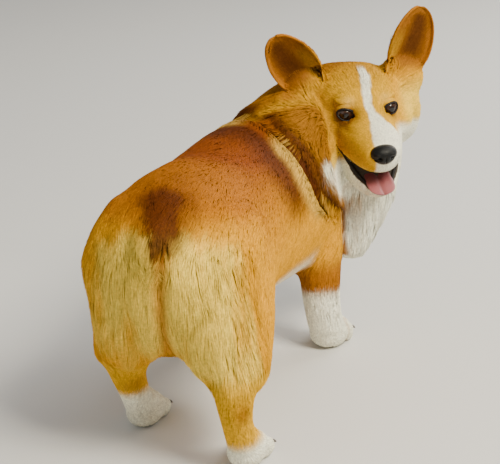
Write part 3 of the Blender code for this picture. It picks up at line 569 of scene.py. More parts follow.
def ear(name):
    """A cupped leaf with a rounded rim that curls in, its root sunk in the head."""
    matrix, length = ear_frame(name)
    rows = []
    for share, half_width, cup in smooth_sections(EAR_ROWS):
        row = []
        for k in range(EAR_COLUMNS + 1):
            t = 2 * k / EAR_COLUMNS - 1
            x = half_width * math.sin(t * math.pi / 2)
            curl = EAR_CURL * max(0.0, abs(t) - 0.8) / 0.2
            row.append((x - math.copysign(curl * 0.6, x), cup * t * t - 0.004 + curl, share * length))
        rows.append(row)
    leaf = grid_object("leaf", rows, closed=False, caps=False)
    leaf.data.transform(matrix)
    solid = leaf.modifiers.new("Thickness", "SOLIDIFY")
    solid.thickness = EAR_THICKNESS
    solid.offset = 0
    leaf.modifiers.new("Round", "SUBSURF").levels = 1
    made = evaluated_copy(leaf, "ear_" + name)
    remove(leaf)
    rework(made.data, split_faces, face_outwards)
    return made


def outer_form():
    body = blended("body", body_forms(), 0.0045, 18)
    head = blended("head", head_forms(), 0.0016, 22)
    head.data.transform(HEAD)
    feet = [form for paw, radii in paws() for form in paw_forms(paw, radii)]
    whole = blended("form", [body, head, *feet], 0.0018, 7)
    for name in EARS:
        whole = cut(whole, ear(name), "UNION")
    return whole


# Where the coat and its markings lie, from a point of the form in the body's frame
CREASE_TURNS = (-60, -30, -3, 10, 18, 28, 48, 67, 80, 95, 112)
CREASE_Y = (-0.135, -0.115, -0.083, -0.064, -0.053, -0.046, -0.036, -0.035, -0.041, -0.066, -0.12)
CREAM_Z = (0.085, 0.112, 0.141, 0.176, 0.21, 0.228, 0.24, 0.25, 0.256)
CREAM_Y = (0.222, 0.226, 0.228, 0.228, 0.227, 0.23, 0.24, 0.258, 0.29)
CLEFT_Z = (0.12, 0.15, 0.19, 0.215, 0.232)
CLEFT_X = (-0.004, -0.006, -0.008, -0.012, -0.015)
PATCH_Z = (0.22, 0.236, 0.25, 0.273, 0.29)
PATCH_X = (-0.016, -0.015, -0.014, -0.002, 0.002)
PATCH_HALF = (0.006, 0.014, 0.021, 0.028, 0.03)
WHITE_Z = (0.08, 0.102, 0.13, 0.141, 0.158, 0.167, 0.178, 0.19, 0.203, 0.213, 0.222)
WHITE_Y = (-0.137, -0.139, -0.142, -0.145, -0.14, -0.13, -0.108, -0.088, -0.074, -0.066, -0.06)
RUFF_Y = (-0.2, -0.118, -0.11, -0.082, -0.06)
RUFF_TOP = (0.24, 0.209, 0.215, 0.22, 0.222)
BLAZE_Y = (-0.098, -0.081, -0.07, -0.058, -0.048, -0.04, -0.016, 0.004)
BLAZE_RIGHT = (-0.0095, -0.0067, -0.0046, -0.004, -0.0048, -0.005, 0.0002, 0.003)
BLAZE_LEFT = (0.06, 0.042, 0.015, 0.0048, 0.0044, 0.006, 0.0122, 0.0105)

# The colours of the coat and of the dark skin, linear
# the last of these, the neck's tan, is made darker partly as painted shade
WHITE, CREAM, GOLD, ORANGE, RED, UMBER, TAN, GREY_TAN, NECK_TAN_SHADED = np.array((
    (0.93, 0.9, 0.72), (0.89, 0.61, 0.08), (0.69, 0.315, 0.004), (0.39, 0.128, 0.0),
    (0.185, 0.036, 0.0), (0.085, 0.018, 0.002), (0.72, 0.385, 0.01), (0.46, 0.17, 0.01),
    (0.27, 0.108, 0.005),
))
# the second of these, the ear cup's dark, is partly painted shade
EAR_BROWN, EAR_DARK, FOREARM, PALE_SPOT, DARK_SKIN = np.array((
    (0.46, 0.17, 0.012), (0.105, 0.034, 0.006), (0.34, 0.12, 0.006), (0.84, 0.5, 0.08),
    (0.02, 0.012, 0.009),
))


class Places:
    """Points of the form, with the regions that they lie in as shares from 0 to 1."""

    def __init__(self, points, normals):
        self.p = points
        self.n = normals
        self.h = place(points, HEAD.inverted())
        x, y, z = points.T
        hx, hy, hz = self.h.T
        self.head = step(0.036, 0.016, place(points, NAPE.inverted())[:, 1]) * step(-0.092, -0.074, hz)
        self.head *= step(0.135, 0.115, np.linalg.norm(self.h, axis=1))
        self.head *= 1 - step(-0.045, -0.052, hx) * step(-0.02, -0.034, hy)
        self.face = self.head * step(-0.006, -0.028, hy) * (1 - 0.8 * step(0.04, 0.058, abs(hx)))
        self.muzzle = self.head * step(-0.055, -0.072, hy)
        ears = np.zeros((5, len(points)))
        for name in EARS:
            matrix, length = ear_frame(name)
            ex, ey, ez = place(points, matrix.inverted()).T
            near = step(0.033, 0.029, abs(ex)) * step(0.026, 0.02, abs(ey - 0.003))
            near *= step(0.02, 0.22, ez / length)
            outward = ex / np.interp(ez / length, *np.array(EAR_ROWS).T[:2])
            ears = np.maximum(ears, near * np.stack((
                np.ones(len(points)),
                step(-0.1, 0.4, normals @ np.array(matrix)[:3, 1]),
                np.maximum(step(0.72, 0.98, abs(outward)), step(0.86, 1.0, ez / length)),
                step(-0.15, -0.55, outward) * step(0.75, 0.4, ez / length),
                # the middle of the cup's hollow, where its painted shade is strongest
                step(0.9, 0.1, abs(outward - 0.25)) * step(0.06, 0.34, ez / length),
            )))
        self.ear, self.cup, self.rim, self.fringe, self.deep_shade = ears
        self.turn = np.degrees(np.arctan2(-(x + 0.02), z - 0.18))
        self.crease = y - np.interp(self.turn, CREASE_TURNS, CREASE_Y)
        self.on_crease = step(-75, -30, self.turn) * step(128, 108, self.turn) * (1 - self.head)
        self.neck = step(0.006, -0.01, self.crease) * (1 - self.head) * step(0.075, 0.1, z)
        self.fore = step(-0.02, -0.05, y)
        self.leg = step(0.118, 0.092, z)
        self.paw = step(0.04, 0.028, z)
        streaks = 0.016 * ripple(points * np.array((1.0, 1.0, 0.25)), 0.01)
        edge = y - np.interp(z, CREAM_Z, CREAM_Y) - 0.01 * step(0.0, 0.03, x)
        self.cream = step(-0.02, 0.016, edge + streaks)
        self.golden = step(-0.11, -0.01, edge + streaks) * step(0.275, 0.235, z) * (1 - self.fore)
        self.cream *= step(0.078, 0.094, z) * (1 - self.fore)
        self.tail = step(0.03, 0.018, abs(x)) * step(0.236, 0.252, y) * step(0.205, 0.222, z)
        self.breech = step(-0.07, -0.02, edge)
        self.breech *= step(0.08, 0.094, z) * step(0.25, 0.225, z) * (1 - self.fore)
        front = step(0.005, -0.005, y - np.interp(z, WHITE_Z, WHITE_Y) + 0.004 * ripple(points, 0.009, 2))
        left_edge = 0.35 * (0.2 - z)
        below = step(0.005, -0.005, z - np.interp(y, RUFF_Y, RUFF_TOP))
        below = np.maximum(below, step(-0.035, -0.015, x) * step(0.245, 0.23, z))
        corner = step(-0.094, -0.1, x) * step(-0.104, -0.116, y) * step(0.16, 0.14, z)
        front = np.maximum(front, corner)
        self.bib = front * step(0.014, -0.014, x - left_edge) * below * (1 - self.head)
        # the cleft between the breeches, dented in the form and painted darker as painted shade
        self.cleft = np.exp(-(((x - np.interp(z, CLEFT_Z, CLEFT_X)) / 0.0065) ** 2))
        self.cleft *= step(0.19, 0.22, y) * step(0.236, 0.222, z) * step(0.095, 0.125, z)
        self.belly = step(-0.35, -0.75, normals[:, 2]) * step(0.145, 0.125, z) * (1 - self.leg)


def painted(base, *layers):
    """The base with each layer's colour laid over it in turn, by the layer's share."""
    for colour, share in layers:
        base = base + (colour - base) * share[:, None]
    return base


def body_colour(q):
    x, y, z = q.p.T
    low = z + 0.01 * ripple(q.p, 0.03) - 0.1 * np.clip(y, 0, 0.3)
    # a darker red saddle at the top of the shoulders, partly sable hair and partly painted shade
    withers_sable_and_shade = blob(q.p, (-0.01, 0.02, 0.272), (0.08, 0.12, 0.05))
    middle = np.interp(z, PATCH_Z, PATCH_X) + 0.004 * ripple(q.p, 0.01, 4)
    croup = np.exp(-(((x - middle) / np.interp(z, PATCH_Z, PATCH_HALF)) ** 2))
    croup *= step(0.216, 0.228, z) * step(0.186, 0.214, y)
    croup += 0.4 * blob(q.p, (0.0, 0.185, 0.28), (0.045, 0.045, 0.03))
    croup *= 1 + 0.25 * ripple(q.p * np.array((1.0, 1.0, 0.4)), 0.005, 6)
    # the crease where the neck's coat ends, dark hair with painted shade; the pale band after it, dimmed
    # partly as painted shade; and a dark band past that, sable hair with the head's painted shadow
    fade = 0.002 * ripple(q.p, 0.012) + 0.0015 * ripple(q.p, 0.005, 3)
    c = q.crease + fade
    dark = step(-0.036, -0.014, c) * step(0.004, -0.002, c) * q.on_crease
    pale = step(-0.001, 0.005, c) * step(0.043, 0.032, c) * q.on_crease * step(105, 85, q.turn)
    pale *= step(6, 26, abs(q.turn))
    sable_and_shadow_band = step(0.03, 0.042, c) * step(0.116, 0.06, c) * q.on_crease * step(94, 56, abs(q.turn))
    hind = q.leg * (1 - q.fore)
    hock = blob(q.p, (-0.08, 0.242, 0.068), (0.012, 0.014, 0.016))
    hock += blob(q.p, (0.055, 0.18, 0.068), (0.012, 0.014, 0.016))
    fore = q.leg * q.fore * (1 - q.bib)
    return painted(
        np.tile(ORANGE, (len(x), 1)),
        (GOLD, step(0.25, 0.16, low) * 0.95),
        # the red saddle, partly painted shade
        (RED, np.clip(withers_sable_and_shade * 1.4, 0, 0.92)),
        # the neck's tan, partly painted shade
        (NECK_TAN_SHADED, q.neck * 0.92),
        (GREY_TAN, q.neck * step(0.185, 0.15, z) * 0.8),
        # the dark band past the pale one, partly sable and partly the head's painted shadow
        (UMBER * 0.9, sable_and_shadow_band * 0.88),
        # the pale band, dimmed partly as painted shade
        (PALE_SPOT * 0.64, pale * 0.88),
        # the crease's dark band, partly dark hair and partly painted shade
        (UMBER * 0.8, dark * 0.96),
        (GOLD, q.golden * 0.85),
        (CREAM, q.cream),
        (UMBER * 0.85, np.clip(croup * 1.15, 0, 0.96)),
        # a darker line along the cleft between the breeches, painted shade
        (GREY_TAN, q.cleft * 0.75),
        (WHITE * 0.96, q.belly * 0.8 * step(0.16, 0.12, y)),
        (WHITE, q.bib),
        (TAN, hind * step(0.104, 0.092, z)),
        (RED * 0.8, hock * 0.7),
        (WHITE, hind * step(0.01, -0.002, z - 0.022 - 0.024 * step(0.02, 0.04, x))),
        (FOREARM, fore),
        (WHITE, fore * step(0.076, 0.066, z + 0.003 * ripple(q.p, 0.008))),
    )


def mouth_height(y, line):
    """The height of the mouth's upper or lower line at y, in the head's frame."""
    return np.interp(y, *np.array(line[::-1]).T)


def head_colour(q):
    hx, hy, hz = q.h.T
    head = painted(
        np.tile(TAN, (len(hx), 1)),
        (GOLD * 1.1, step(0.02, 0.05, hx) * 0.7),
        (ORANGE * 0.85, step(0.022, 0.04, hz) * 0.35),
        (ORANGE * 0.8, step(-0.02, 0.03, hy) * 0.45),
        # the right side of the face, darker as painted shade
        (GREY_TAN * 0.75, step(-0.018, -0.044, hx) * step(0.04, 0.016, hz) * 0.5),
    )
    for side in (1, -1):
        spot = blob(q.h, (0.0215 * side, -0.045, 0.0185), (0.008, 0.01, 0.006))
        # dark fur round each eye, made larger and darker round the right eye as painted shade
        radii = (0.016 - 0.001 * side, 0.014, 0.011 - 0.0012 * side)
        eye_ring_and_shade = blob(q.h, (0.0262 * side, -0.05, 0.0035), radii)
        dark = np.clip(eye_ring_and_shade * (1.65 - 0.4 * side), 0, 1) * 0.85
        head = painted(head, (PALE_SPOT, spot * 0.9), (UMBER * 1.2, dark))
    lips = step(0.01, 0.003, hz - mouth_height(hy, MOUTH_UPPER))
    # a darker line along the top of the skull, painted shade of a crease in the fur
    furrow = blob(q.h, (0.0025, -0.002, 0.0376), (0.0022, 0.012, 0.005))
    wobble = 0.001 * ripple(q.h, 0.004, 1)
    right = step(-0.0016, 0.0016, hx - np.interp(hy, BLAZE_Y, BLAZE_RIGHT) + wobble)
    left = step(0.0018, -0.0018, hx - np.interp(hy, BLAZE_Y, BLAZE_LEFT) - wobble)
    top = step(0.012, -0.004, hy) * step(-0.056, -0.048, hz)
    below = step(-0.043, -0.051, hz + 0.003 * ripple(q.h, 0.01))
    edge = step(0.005, 0.002, hz - mouth_height(hy, MOUTH_LOWER))
    under = below + (edge - below) * step(-0.056, -0.066, hy) * step(0.041, 0.034, abs(hx))
    left_cheek = step(0.036, 0.056, hx) * step(0.03, 0.0, hz) * (1 - q.ear) * step(0.03, -0.005, hy)
    ruff = step(0.008, -0.004, hz - np.interp(hx, (0.027, 0.05, 0.075), (-0.012, -0.022, -0.036)))
    return painted(
        head,
        (CREAM * 0.9, lips * step(-0.05, -0.066, hy) * 0.75),
        # the line on the skull, painted shade
        (GREY_TAN * 0.6, furrow * 0.55),
        (WHITE, right * left * top),
        (WHITE, under * step(0.046, 0.02, hy)),
        (CREAM, left_cheek * 0.8),
        (WHITE, ruff * step(0.022, 0.03, hx) * step(0.03, 0.0, hy)),
    )


def markings(q):
    """The coat's colour at each place, linear."""
    return painted(
        body_colour(q),
        (head_colour(q), q.head),
        (EAR_BROWN, q.ear),
        # the dark inside of each ear cup, partly painted shade, darkest in the middle of the hollow
        (EAR_DARK, q.cup * (0.4 + 0.6 * q.deep_shade) * (1 - 0.75 * q.rim)),
        (TAN * 0.8, q.cup * q.fringe * 0.55),
    )


# Each region of the coat: depth, length, half width and spacing of its tufts, how far their tips
# stand proud, and how much they draw together into locks
COAT = {
    "trunk": (0.0028, 0.021, 0.00072, 0.0019, 0.0002, 0.15),
    "neck": (0.004, 0.026, 0.00076, 0.002, 0.0012, 0.3),
    "bib": (0.0044, 0.03, 0.00078, 0.00195, 0.0024, 0.4),
    "breech": (0.0042, 0.03, 0.00075, 0.0018, 0.0022, 0.32),
    "tail": (0.004, 0.024, 0.00066, 0.0018, 0.002, 0.35),
    "leg": (0.0022, 0.012, 0.00055, 0.002, 0.0, 0.15),
    "paw": (0.0012, 0.007, 0.00048, 0.0017, 0.0, 0.1),
    "head": (0.0034, 0.016, 0.00058, 0.0018, 0.0005, 0.2),
    "face": (0.0012, 0.007, 0.00042, 0.0014, 0.0, 0.05),
    "muzzle": (0.0007, 0.0045, 0.00036, 0.0012, 0.0, 0.0),
    "ear": (0.0005, 0.007, 0.00045, 0.0015, 0.0002, 0.1),
    "fringe": (0.0005, 0.015, 0.0005, 0.0015, 0.0022, 0.3),
}


def coat_values(q):
    """The coat's measures at each place, blended from region to region."""
    shares = {region: getattr(q, region) for region in list(COAT)[1:-1]}
    shares["fringe"] = q.cup * q.fringe
    layers = [(np.array(COAT[region]), share) for region, share in shares.items()]
    return painted(np.tile(np.array(COAT["trunk"]), (len(q.p), 1)), *layers)


def ways(*parts):
    """A vector for each place, from its three parts."""
    return np.stack(np.broadcast_arrays(*parts), 1)


def lie_of_coat(q):
    """The way the hair points at each place, along the surface."""
    x, y, z = q.p.T
    side = np.sign(x) * step(0.01, 0.05, abs(x))
    back = unit(q.h - np.array((0.0, -0.135, -0.012))) @ np.array(HEAD.to_3x3()).T
    lie = painted(
        ways(0.1 * side, 1, -0.15 - 0.9 * step(0.25, 0.12, z)),
        (ways(-0.25 * np.sign(x) * step(0.2, 0.25, z), 0.5, -0.9), step(0.15, 0.235, y)),
        (unit(q.p - np.array(HEAD.translation)) + DOWN * 0.5, q.neck),
        (DOWN + np.array((0.1, 0.15, 0)), q.bib),
        (ways(0.12 * side, 0.1, -1), q.breech),
        (np.array((0.0, 0.6, -0.8)), q.tail),
        (DOWN + np.array((0, 0.1, 0)), q.leg),
        (np.array((0.0, -0.7, -0.5)), q.paw),
        (back + DOWN * 0.15, q.head),
    )
    for name in EARS:
        matrix = ear_frame(name)[0]
        across = place(q.p, matrix.inverted())[:, 0:1]
        matrix = np.array(matrix)
        outwards = matrix[:3, 2] + matrix[:3, 0] * (across / 0.027) * 0.35
        lie = painted(lie, (outwards, q.ear * step(0.036, 0.03, abs(across[:, 0]))))
    lie += 0.22 * ways(*(ripple(q.p, 0.016, seed) for seed in (5, 6, 7)))
    lie -= q.n * (lie * q.n).sum(1, keepdims=True)
    return unit(lie)


# The smallest cell that holds one root, how the cells grow, and how far apart the locks stand
CELL = 0.001
CELL_STEP = 1.22
LOCK_GAP = 0.0085


def scatter(points, normals, tris, spacing):
    """Roots spread evenly over the triangles, about as far apart as spacing says at each vertex."""
    a, b, c = (points[tris[:, k]] for k in range(3))
    area = np.linalg.norm(np.cross(b - a, c - a), axis=1) / 2
    gap = spacing[tris].mean(1)
    wanted = area / gap**2 * 2.6
    total = int(wanted.sum())
    chosen = np.searchsorted(np.cumsum(wanted), draw.random(total) * wanted.sum())
    chosen = np.minimum(chosen, len(tris) - 1)
    u, v = draw.random(total), draw.random(total)
    over = u + v > 1
    u[over], v[over] = 1 - u[over], 1 - v[over]
    weights = np.stack((1 - u - v, u, v), 1)
    found = (points[tris[chosen]] * weights[:, :, None]).sum(1)
    facing = unit((normals[tris[chosen]] * weights[:, :, None]).sum(1))
    # one root in each small cell, its size one of a few steps
    level = np.round(np.log(gap[chosen] / CELL) / math.log(CELL_STEP)).astype(int)
    cell = CELL * CELL_STEP**level
    keys = np.concatenate((np.floor(found / cell[:, None]).astype(int), level[:, None]), 1)
    kept = np.unique(keys, axis=0, return_index=True)[1]
    kept.sort()
    return found[kept], facing[kept]


def nearest(tree, points):
    found, facing = np.empty_like(points), np.empty_like(points)
    for i, point in enumerate(points):
        found[i], facing[i] = tree.find_nearest(point)[:2]
    return found, facing


class Unwrap:
    """An unwrap of the form, on a light copy, that gives each root its place."""

    def __init__(self, form):
        light = new_object("light", form.data.copy())
        light.modifiers.new("Fewer", "DECIMATE").ratio = 0.025
        obj = evaluated_copy(light, "unwrap")
        remove(light)
        bpy.context.view_layer.objects.active = obj
        obj.select_set(True)
        bpy.ops.object.mode_set(mode="EDIT")
        bpy.ops.mesh.select_all(action="SELECT")
        bpy.ops.mesh.quads_convert_to_tris()
        bpy.ops.uv.smart_project(angle_limit=math.radians(66), island_margin=0.002)
        bpy.ops.object.mode_set(mode="OBJECT")
        mesh = obj.data
        self.points = coordinates(mesh)
        self.tris = read(mesh.loops, "vertex_index", 1, np.int32).reshape(-1, 3)
        self.uv = read(mesh.uv_layers.active.data, "uv", 2).reshape(-1, 3, 2)
        self.tree = tree_of(self.points, self.tris)
        remove(obj)

    def at(self, points):
        faces = np.empty(len(points), int)
        near = np.empty_like(points)
        for i, point in enumerate(points):
            near[i], _, faces[i], _ = self.tree.find_nearest(point)
        a, b, c = (self.points[self.tris[faces][:, k]] for k in range(3))
        ab, ac, ap = b - a, c - a, near - a
        d00, d01, d11 = (ab * ab).sum(1), (ab * ac).sum(1), (ac * ac).sum(1)
        d20, d21 = (ap * ab).sum(1), (ap * ac).sum(1)
        below = np.maximum(d00 * d11 - d01 * d01, 1e-18)
        v = np.clip((d11 * d20 - d01 * d21) / below, 0, 1)
        w = np.clip((d00 * d21 - d01 * d20) / below, 0, 1)
        corners = self.uv[faces]
        return sum(corners[:, k] * share[:, None] for k, share in enumerate((1 - v - w, v, w)))


TUFT_FACES = np.array((
    (0, 1, 2), (0, 4, 1), (0, 3, 4), (1, 5, 2), (1, 4, 5),
    (2, 3, 0), (2, 5, 3), (3, 6, 4), (4, 6, 5), (5, 6, 3),
))
TUFT_BULGE = 0.55
# each tuft's colour at its corners: darker at the root and the sides as painted shade, lighter at the tip
# as painted light
TUFT_PAINTED_SHADE = np.array((0.88, 0.88, 0.88, 0.97, 1.0, 0.97, 1.05))
TUFT_BLEND = np.array((0, 0, 0, 0.5, 0.5, 0.5, 1.0))
TUFT_MAP = np.array(((-1, -1), (0, -1), (1, -1), (-1, 0), (0, 0), (1, 0), (0, 1))) * 0.0015


def mesh_from(name, points, faces):
    mesh = bpy.data.meshes.new(name)
    mesh.vertices.add(len(points))
    set_points(mesh, points)
    mesh.loops.add(faces.size)
    mesh.loops.foreach_set("vertex_index", faces.ravel().astype(np.int32))
    mesh.polygons.add(len(faces))
    mesh.polygons.foreach_set("loop_start", np.arange(0, faces.size, 3, dtype=np.int32))
    mesh.update()
    return mesh


def make_smooth(mesh):
    mesh.polygons.foreach_set("use_smooth", np.ones(len(mesh.polygons), bool))


def set_colour(mesh, colours):
    layer = mesh.color_attributes.new("Coat", "FLOAT_COLOR", "POINT")
    rgba = np.concatenate((colours, np.ones((len(colours), 1))), 1)
    layer.data.foreach_set("color", np.clip(rgba, 0, 1).ravel())


def tufts(name, roots, mids, tips, sides, ups, outs, ends, half_width, colours, tip_colours, uv):
    """One closed tapered tuft for each root, in one mesh, lit much as the surface that it lies on."""
    wide = sides * half_width[:, None]
    high = ups * half_width[:, None] * 0.8
    corners = np.stack((
        roots + wide * 0.8, roots + high, roots - wide * 0.8,
        mids + wide, mids + high, mids - wide, tips,
    ), 1)
    faces = TUFT_FACES[None] + 7 * np.arange(len(roots))[:, None, None]
    mesh = mesh_from(name, corners.reshape(-1, 3) - np.array(ORIGIN), faces.reshape(-1, 3))
    make_smooth(mesh)
    colour = colours[:, None, :] + (tip_colours - colours)[:, None, :] * TUFT_BLEND[None, :, None]
    # the colours darkened at roots and sides and lightened at tips, painted shade and light
    set_colour(mesh, (colour * TUFT_PAINTED_SHADE[None, :, None]).reshape(-1, 3))
    lit = np.stack((
        ups + sides * TUFT_BULGE, ups, ups - sides * TUFT_BULGE,
        outs + sides * TUFT_BULGE, outs, outs - sides * TUFT_BULGE, ends,
    ), 1).reshape(-1, 3)
    mesh.normals_split_custom_set_from_vertices(unit(lit).tolist())
    layer = mesh.uv_layers.new(name="OFBake")
    patch = uv[:, None, :] + TUFT_MAP[None]
    layer.data.foreach_set("uv", patch[:, TUFT_FACES.ravel(), :].astype(np.float32).ravel())
    return new_object(name, mesh)


# The fine shapes of the skin
def press(points, normals, row, side=1):
    """The points pushed in round a place, as the row says: its middle, its radii and the depth."""
    x, y, z, *radii, depth = row
    points -= normals * (blob(points, (x * side, y, z), radii) * depth)[:, None]


def sculpt(form):
    """Fine hollows and swellings that the blended forms leave out."""
    mesh = form.data
    points, normals = coordinates(mesh), vertex_normals(mesh)
    q = Places(points, normals)
    turned = normals @ np.array(HEAD.to_3x3())
    head = q.h.copy()
    press(head, turned, STOP)
    for side in (1, -1):
        for row in HEAD_HOLLOWS:
            press(head, turned, row, side)
    points += (place(head, HEAD) - points) * (q.head * (1 - q.ear))[:, None]
    dent = 0.007 * np.exp(-(((q.crease + 0.002) / 0.009) ** 2)) * q.on_crease
    dent -= 0.003 * np.exp(-(((q.crease + 0.024) / 0.013) ** 2)) * q.on_crease
    dent -= 0.0024 * np.exp(-(((q.crease - 0.015) / 0.011) ** 2)) * q.on_crease * step(100, 80, q.turn)
    dent += 0.006 * q.cleft * (1 - q.tail)
    swell = (1 - q.head) * (1 - q.leg)
    dent -= 0.001 * ripple(points * np.array((1.0, 0.45, 0.7)), 0.02, 3) * swell
    locks = ripple(points * np.array((1.0, 1.0, 0.3)), 0.0085, 9)
    dent -= 0.0015 * locks * np.clip(q.breech + q.bib, 0, 1)
    points -= normals * dent[:, None]
    points[:, 2] = np.maximum(points[:, 2], 0.0004)
    set_points(mesh, points)
    mesh.update()


def mouth_prism():
    """A prism across the head, through the outline of the open mouth."""
    outline = MOUTH_UPPER + MOUTH_LOWER[:0:-1]
    rows = [[Vector((x, y, z)) for y, z in outline] for x in (-MOUTH_HALF, MOUTH_HALF)]
    obj = grid_object("prism", rows)
    obj.data.transform(HEAD)
    return obj


def slit_outline(side, share, radius, grow=0.0):
    """A point of the almond opening, in the body's frame, at a distance from the eye's middle."""
    half_width, half_height = EYE_OPENING
    c, s = math.cos(share * 2 * math.pi), math.sin(share * 2 * math.pi)
    inner = 1 if c * side < 0 else 0
    x = math.copysign(abs(c) ** 0.92, c) * (half_width + grow + 0.0012 * inner)
    z = math.copysign(abs(s) ** 1.12, s) * (half_height * (1.02 if s > 0 else 0.86) + grow)
    z -= 0.001 * inner * abs(c) ** 3
    way = Vector((x, -math.sqrt(max(radius**2 - x * x - z * z, 0.25 * radius**2)), z))
    return eye_place(side) @ way


def eye_slit(side):
    rows = []
    for radius in (0.55, 0.8, 1.0, 1.3, 1.8):
        way = (eye_place(side).to_3x3() @ Vector((0, -1, 0))) * (EYE_RADIUS * (radius - 1))
        rows.append([slit_outline(side, k / 32, EYE_RADIUS) + way for k in range(32)])
    return grid_object("slit", rows)


def make_skin(form, depth):
    """The skin under the coat, with the mouth, the eyes and the hollow of the nose cut in it."""
    mesh = form.data.copy()
    points = coordinates(mesh) - vertex_normals(mesh) * depth[:, None]
    points[:, 2] = np.maximum(points[:, 2], LOWEST)
    set_points(mesh, points)
    skin = new_object("skin", mesh)
    for side in (1, -1):
        lids, socket = (
            ellipsoid("lids", (0, 0, 0, *[EYE_RADIUS + more] * 3), frame=eye_place(side), detail=(48, 32))
            for more in (0.0013, 0.0002)
        )
        skin = cut(skin, lids, "UNION")
        skin = cut(skin, eye_slit(side), "DIFFERENCE")
        skin = cut(skin, socket, "DIFFERENCE")
    skin = cut(skin, mouth_prism(), "DIFFERENCE")
    radii = [r * 0.9 for r in NOSE[3:]]
    hollow = ellipsoid("hollow", (*NOSE[:3], *radii), frame=HEAD, detail=(32, 20))
    return cut(skin, hollow, "DIFFERENCE")


def in_opening(h, front, gap):
    """Whether each place is in front of the line and between the lips, or as near as gap."""
    x, y, z = h.T
    low, high = mouth_height(y, MOUTH_LOWER) - gap, mouth_height(y, MOUTH_UPPER) + gap
    return (y < front) & (z < high) & (z > low)


def paint_skin(skin, tree):
    """The coat's markings on the skin, a little lighter under the coat as painted light, and the wet
    inside of the mouth, dark partly as painted shade.
    """
    points = coordinates(skin.data)
    out, facing = nearest(tree, points)
    q = Places(out, facing)
    bare = np.clip(q.face + q.ear + q.paw + q.leg * 0.6, 0, 1)
    # the skin under the coat is painted a little lighter than the bare places, painted light to offset
    # the shade among the tufts
    colours = markings(q) * (1.06 - 0.08 * bare)[:, None]
    inward = ((out - points) * facing).sum(1)
    h = place(points, HEAD.inverted())
    between = abs(h[:, 0]) < MOUTH_HALF
    inside = step(0.0012, 0.0026, inward - coat_values(q)[:, 0]) * q.head * (1 - q.ear)
    # the wet inside of the mouth, a dark red that is partly painted shade, with dark skin near the lips
    wet = painted(
        np.tile(np.array((0.06, 0.014, 0.013)), (len(points), 1)),
        (DARK_SKIN, step(0.004, 0.0008, inward) * 0.9),
    )
    in_mouth = inside * step(-0.026, -0.034, h[:, 1]) * step(-0.03, -0.036, h[:, 2]) * between
    in_mouth = np.maximum(in_mouth, (in_opening(h, -0.046, 0.0004) & between) * 0.95)
    in_face = inside * step(-0.018, -0.03, h[:, 1]) * between
    for side in (1, -1):
        away = np.linalg.norm(points - np.array(eye_place(side).translation), axis=1)
        in_face = in_face * ((away < EYE_RADIUS + 0.0009) | (away > EYE_RADIUS * 2))
    in_face = in_face * (1 - step(-0.03, -0.036, h[:, 2]))
    set_colour(skin.data, painted(colours, (wet, in_mouth), (DARK_SKIN, in_face)))


def bare_places(h):
    """Where no tuft grows: eyes and rims, nose, lips and the mouth."""
    bare = np.zeros(len(h), bool)
    for side in (1, -1):
        e = place(place(h, HEAD), eye_place(side).inverted())
        half_width, half_height = EYE_OPENING
        inner = e[:, 0] * side < 0
        across = e[:, 0] / (half_width + 0.0016 + 0.0012 * inner)
        bare |= (across**2 + (e[:, 2] / (half_height + 0.0014)) ** 2 < 1) & (e[:, 1] < 0)
    n = (h - np.array(NOSE[:3])) / np.array(NOSE[3:])
    bare |= (n**2).sum(1) < 1.15**2
    bare |= in_opening(h, -0.047, 0.001)
    for x, y, z, r in LOWER_EDGE:
        for side in (1, -1):
            bare |= ((h - np.array((x * side, y, z))) ** 2).sum(1) < (r + 0.0004) ** 2
    return bare


def grow_coat(points, normals, tris, spacing, tree, unwrap):
    """All the tufts, as arrays, from the roots on the skin to the tips at the form's surface."""
    at, facing = scatter(points, normals, tris, spacing)
    q = Places(at, facing)
    kept = ~bare_places(q.h) | (q.head < 0.5)
    kept &= at[:, 2] > 0.0035
    at, facing = at[kept], facing[kept]
    q = Places(at, facing)
    depth, length, half_width, spacing, proud, bunch = coat_values(q).T
    vary = draw.random((len(at), 4))
    # tufts rooted in the crease's dark band keep their roots' colour to the tip, a dark that is partly
    # painted shade
    hem = step(-0.034, -0.014, q.crease) * step(0.008, 0.002, q.crease) * q.on_crease
    length = length * (0.75 + 0.5 * vary[:, 0]) * (1 - 0.4 * hem)
    half_width = half_width * (0.8 + 0.4 * vary[:, 1])
    lie = lie_of_coat(q)
    roots = at - facing * (depth + 0.0004)[:, None]
    tip = nearest(tree, at + lie * length[:, None])[0]
    # tips of the long coat draw together into locks
    chosen = np.nonzero(draw.random(len(at)) < np.clip((spacing / LOCK_GAP) ** 2, 0, 1) * 0.9)[0]
    centres = KDTree(len(chosen))
    for number, index in enumerate(chosen):
        centres.insert(at[index], number)
    centres.balance()
    near = chosen[np.array([centres.find(p)[1] for p in at])]
    tip = tip + (tip[near] - tip) * (bunch * 0.85)[:, None]
    tip, out = nearest(tree, tip)
    out = unit(out + facing * 0.5)
    lift = proud * (0.4 + 0.9 * vary[near, 2]) - 0.0003 - 0.12 * depth * vary[:, 3]
    tip = tip + out * lift[:, None]
    mid, out_mid = nearest(tree, (roots + tip) / 2)
    shade = 1 + 0.26 * (vary[:, 1] - 0.5) + 0.22 * (vary[near, 0] - 0.5) * np.clip(bunch * 2, 0.4, 1)
    own = markings(q)
    colours, tip_colours = (
        painted(markings(Places(*where)), (own, hem)) * shade[:, None]
        for where in ((mid, out_mid), (tip, out))
    )
    mid = mid - out_mid * (depth * (0.18 + 0.22 * vary[:, 3]) + 0.0002)[:, None]
    side = unit(np.cross(lie, facing))
    uv = unwrap.at(at)
    return q, (roots, mid, tip, side, facing, out_mid, out, half_width, colours, tip_colours, uv)


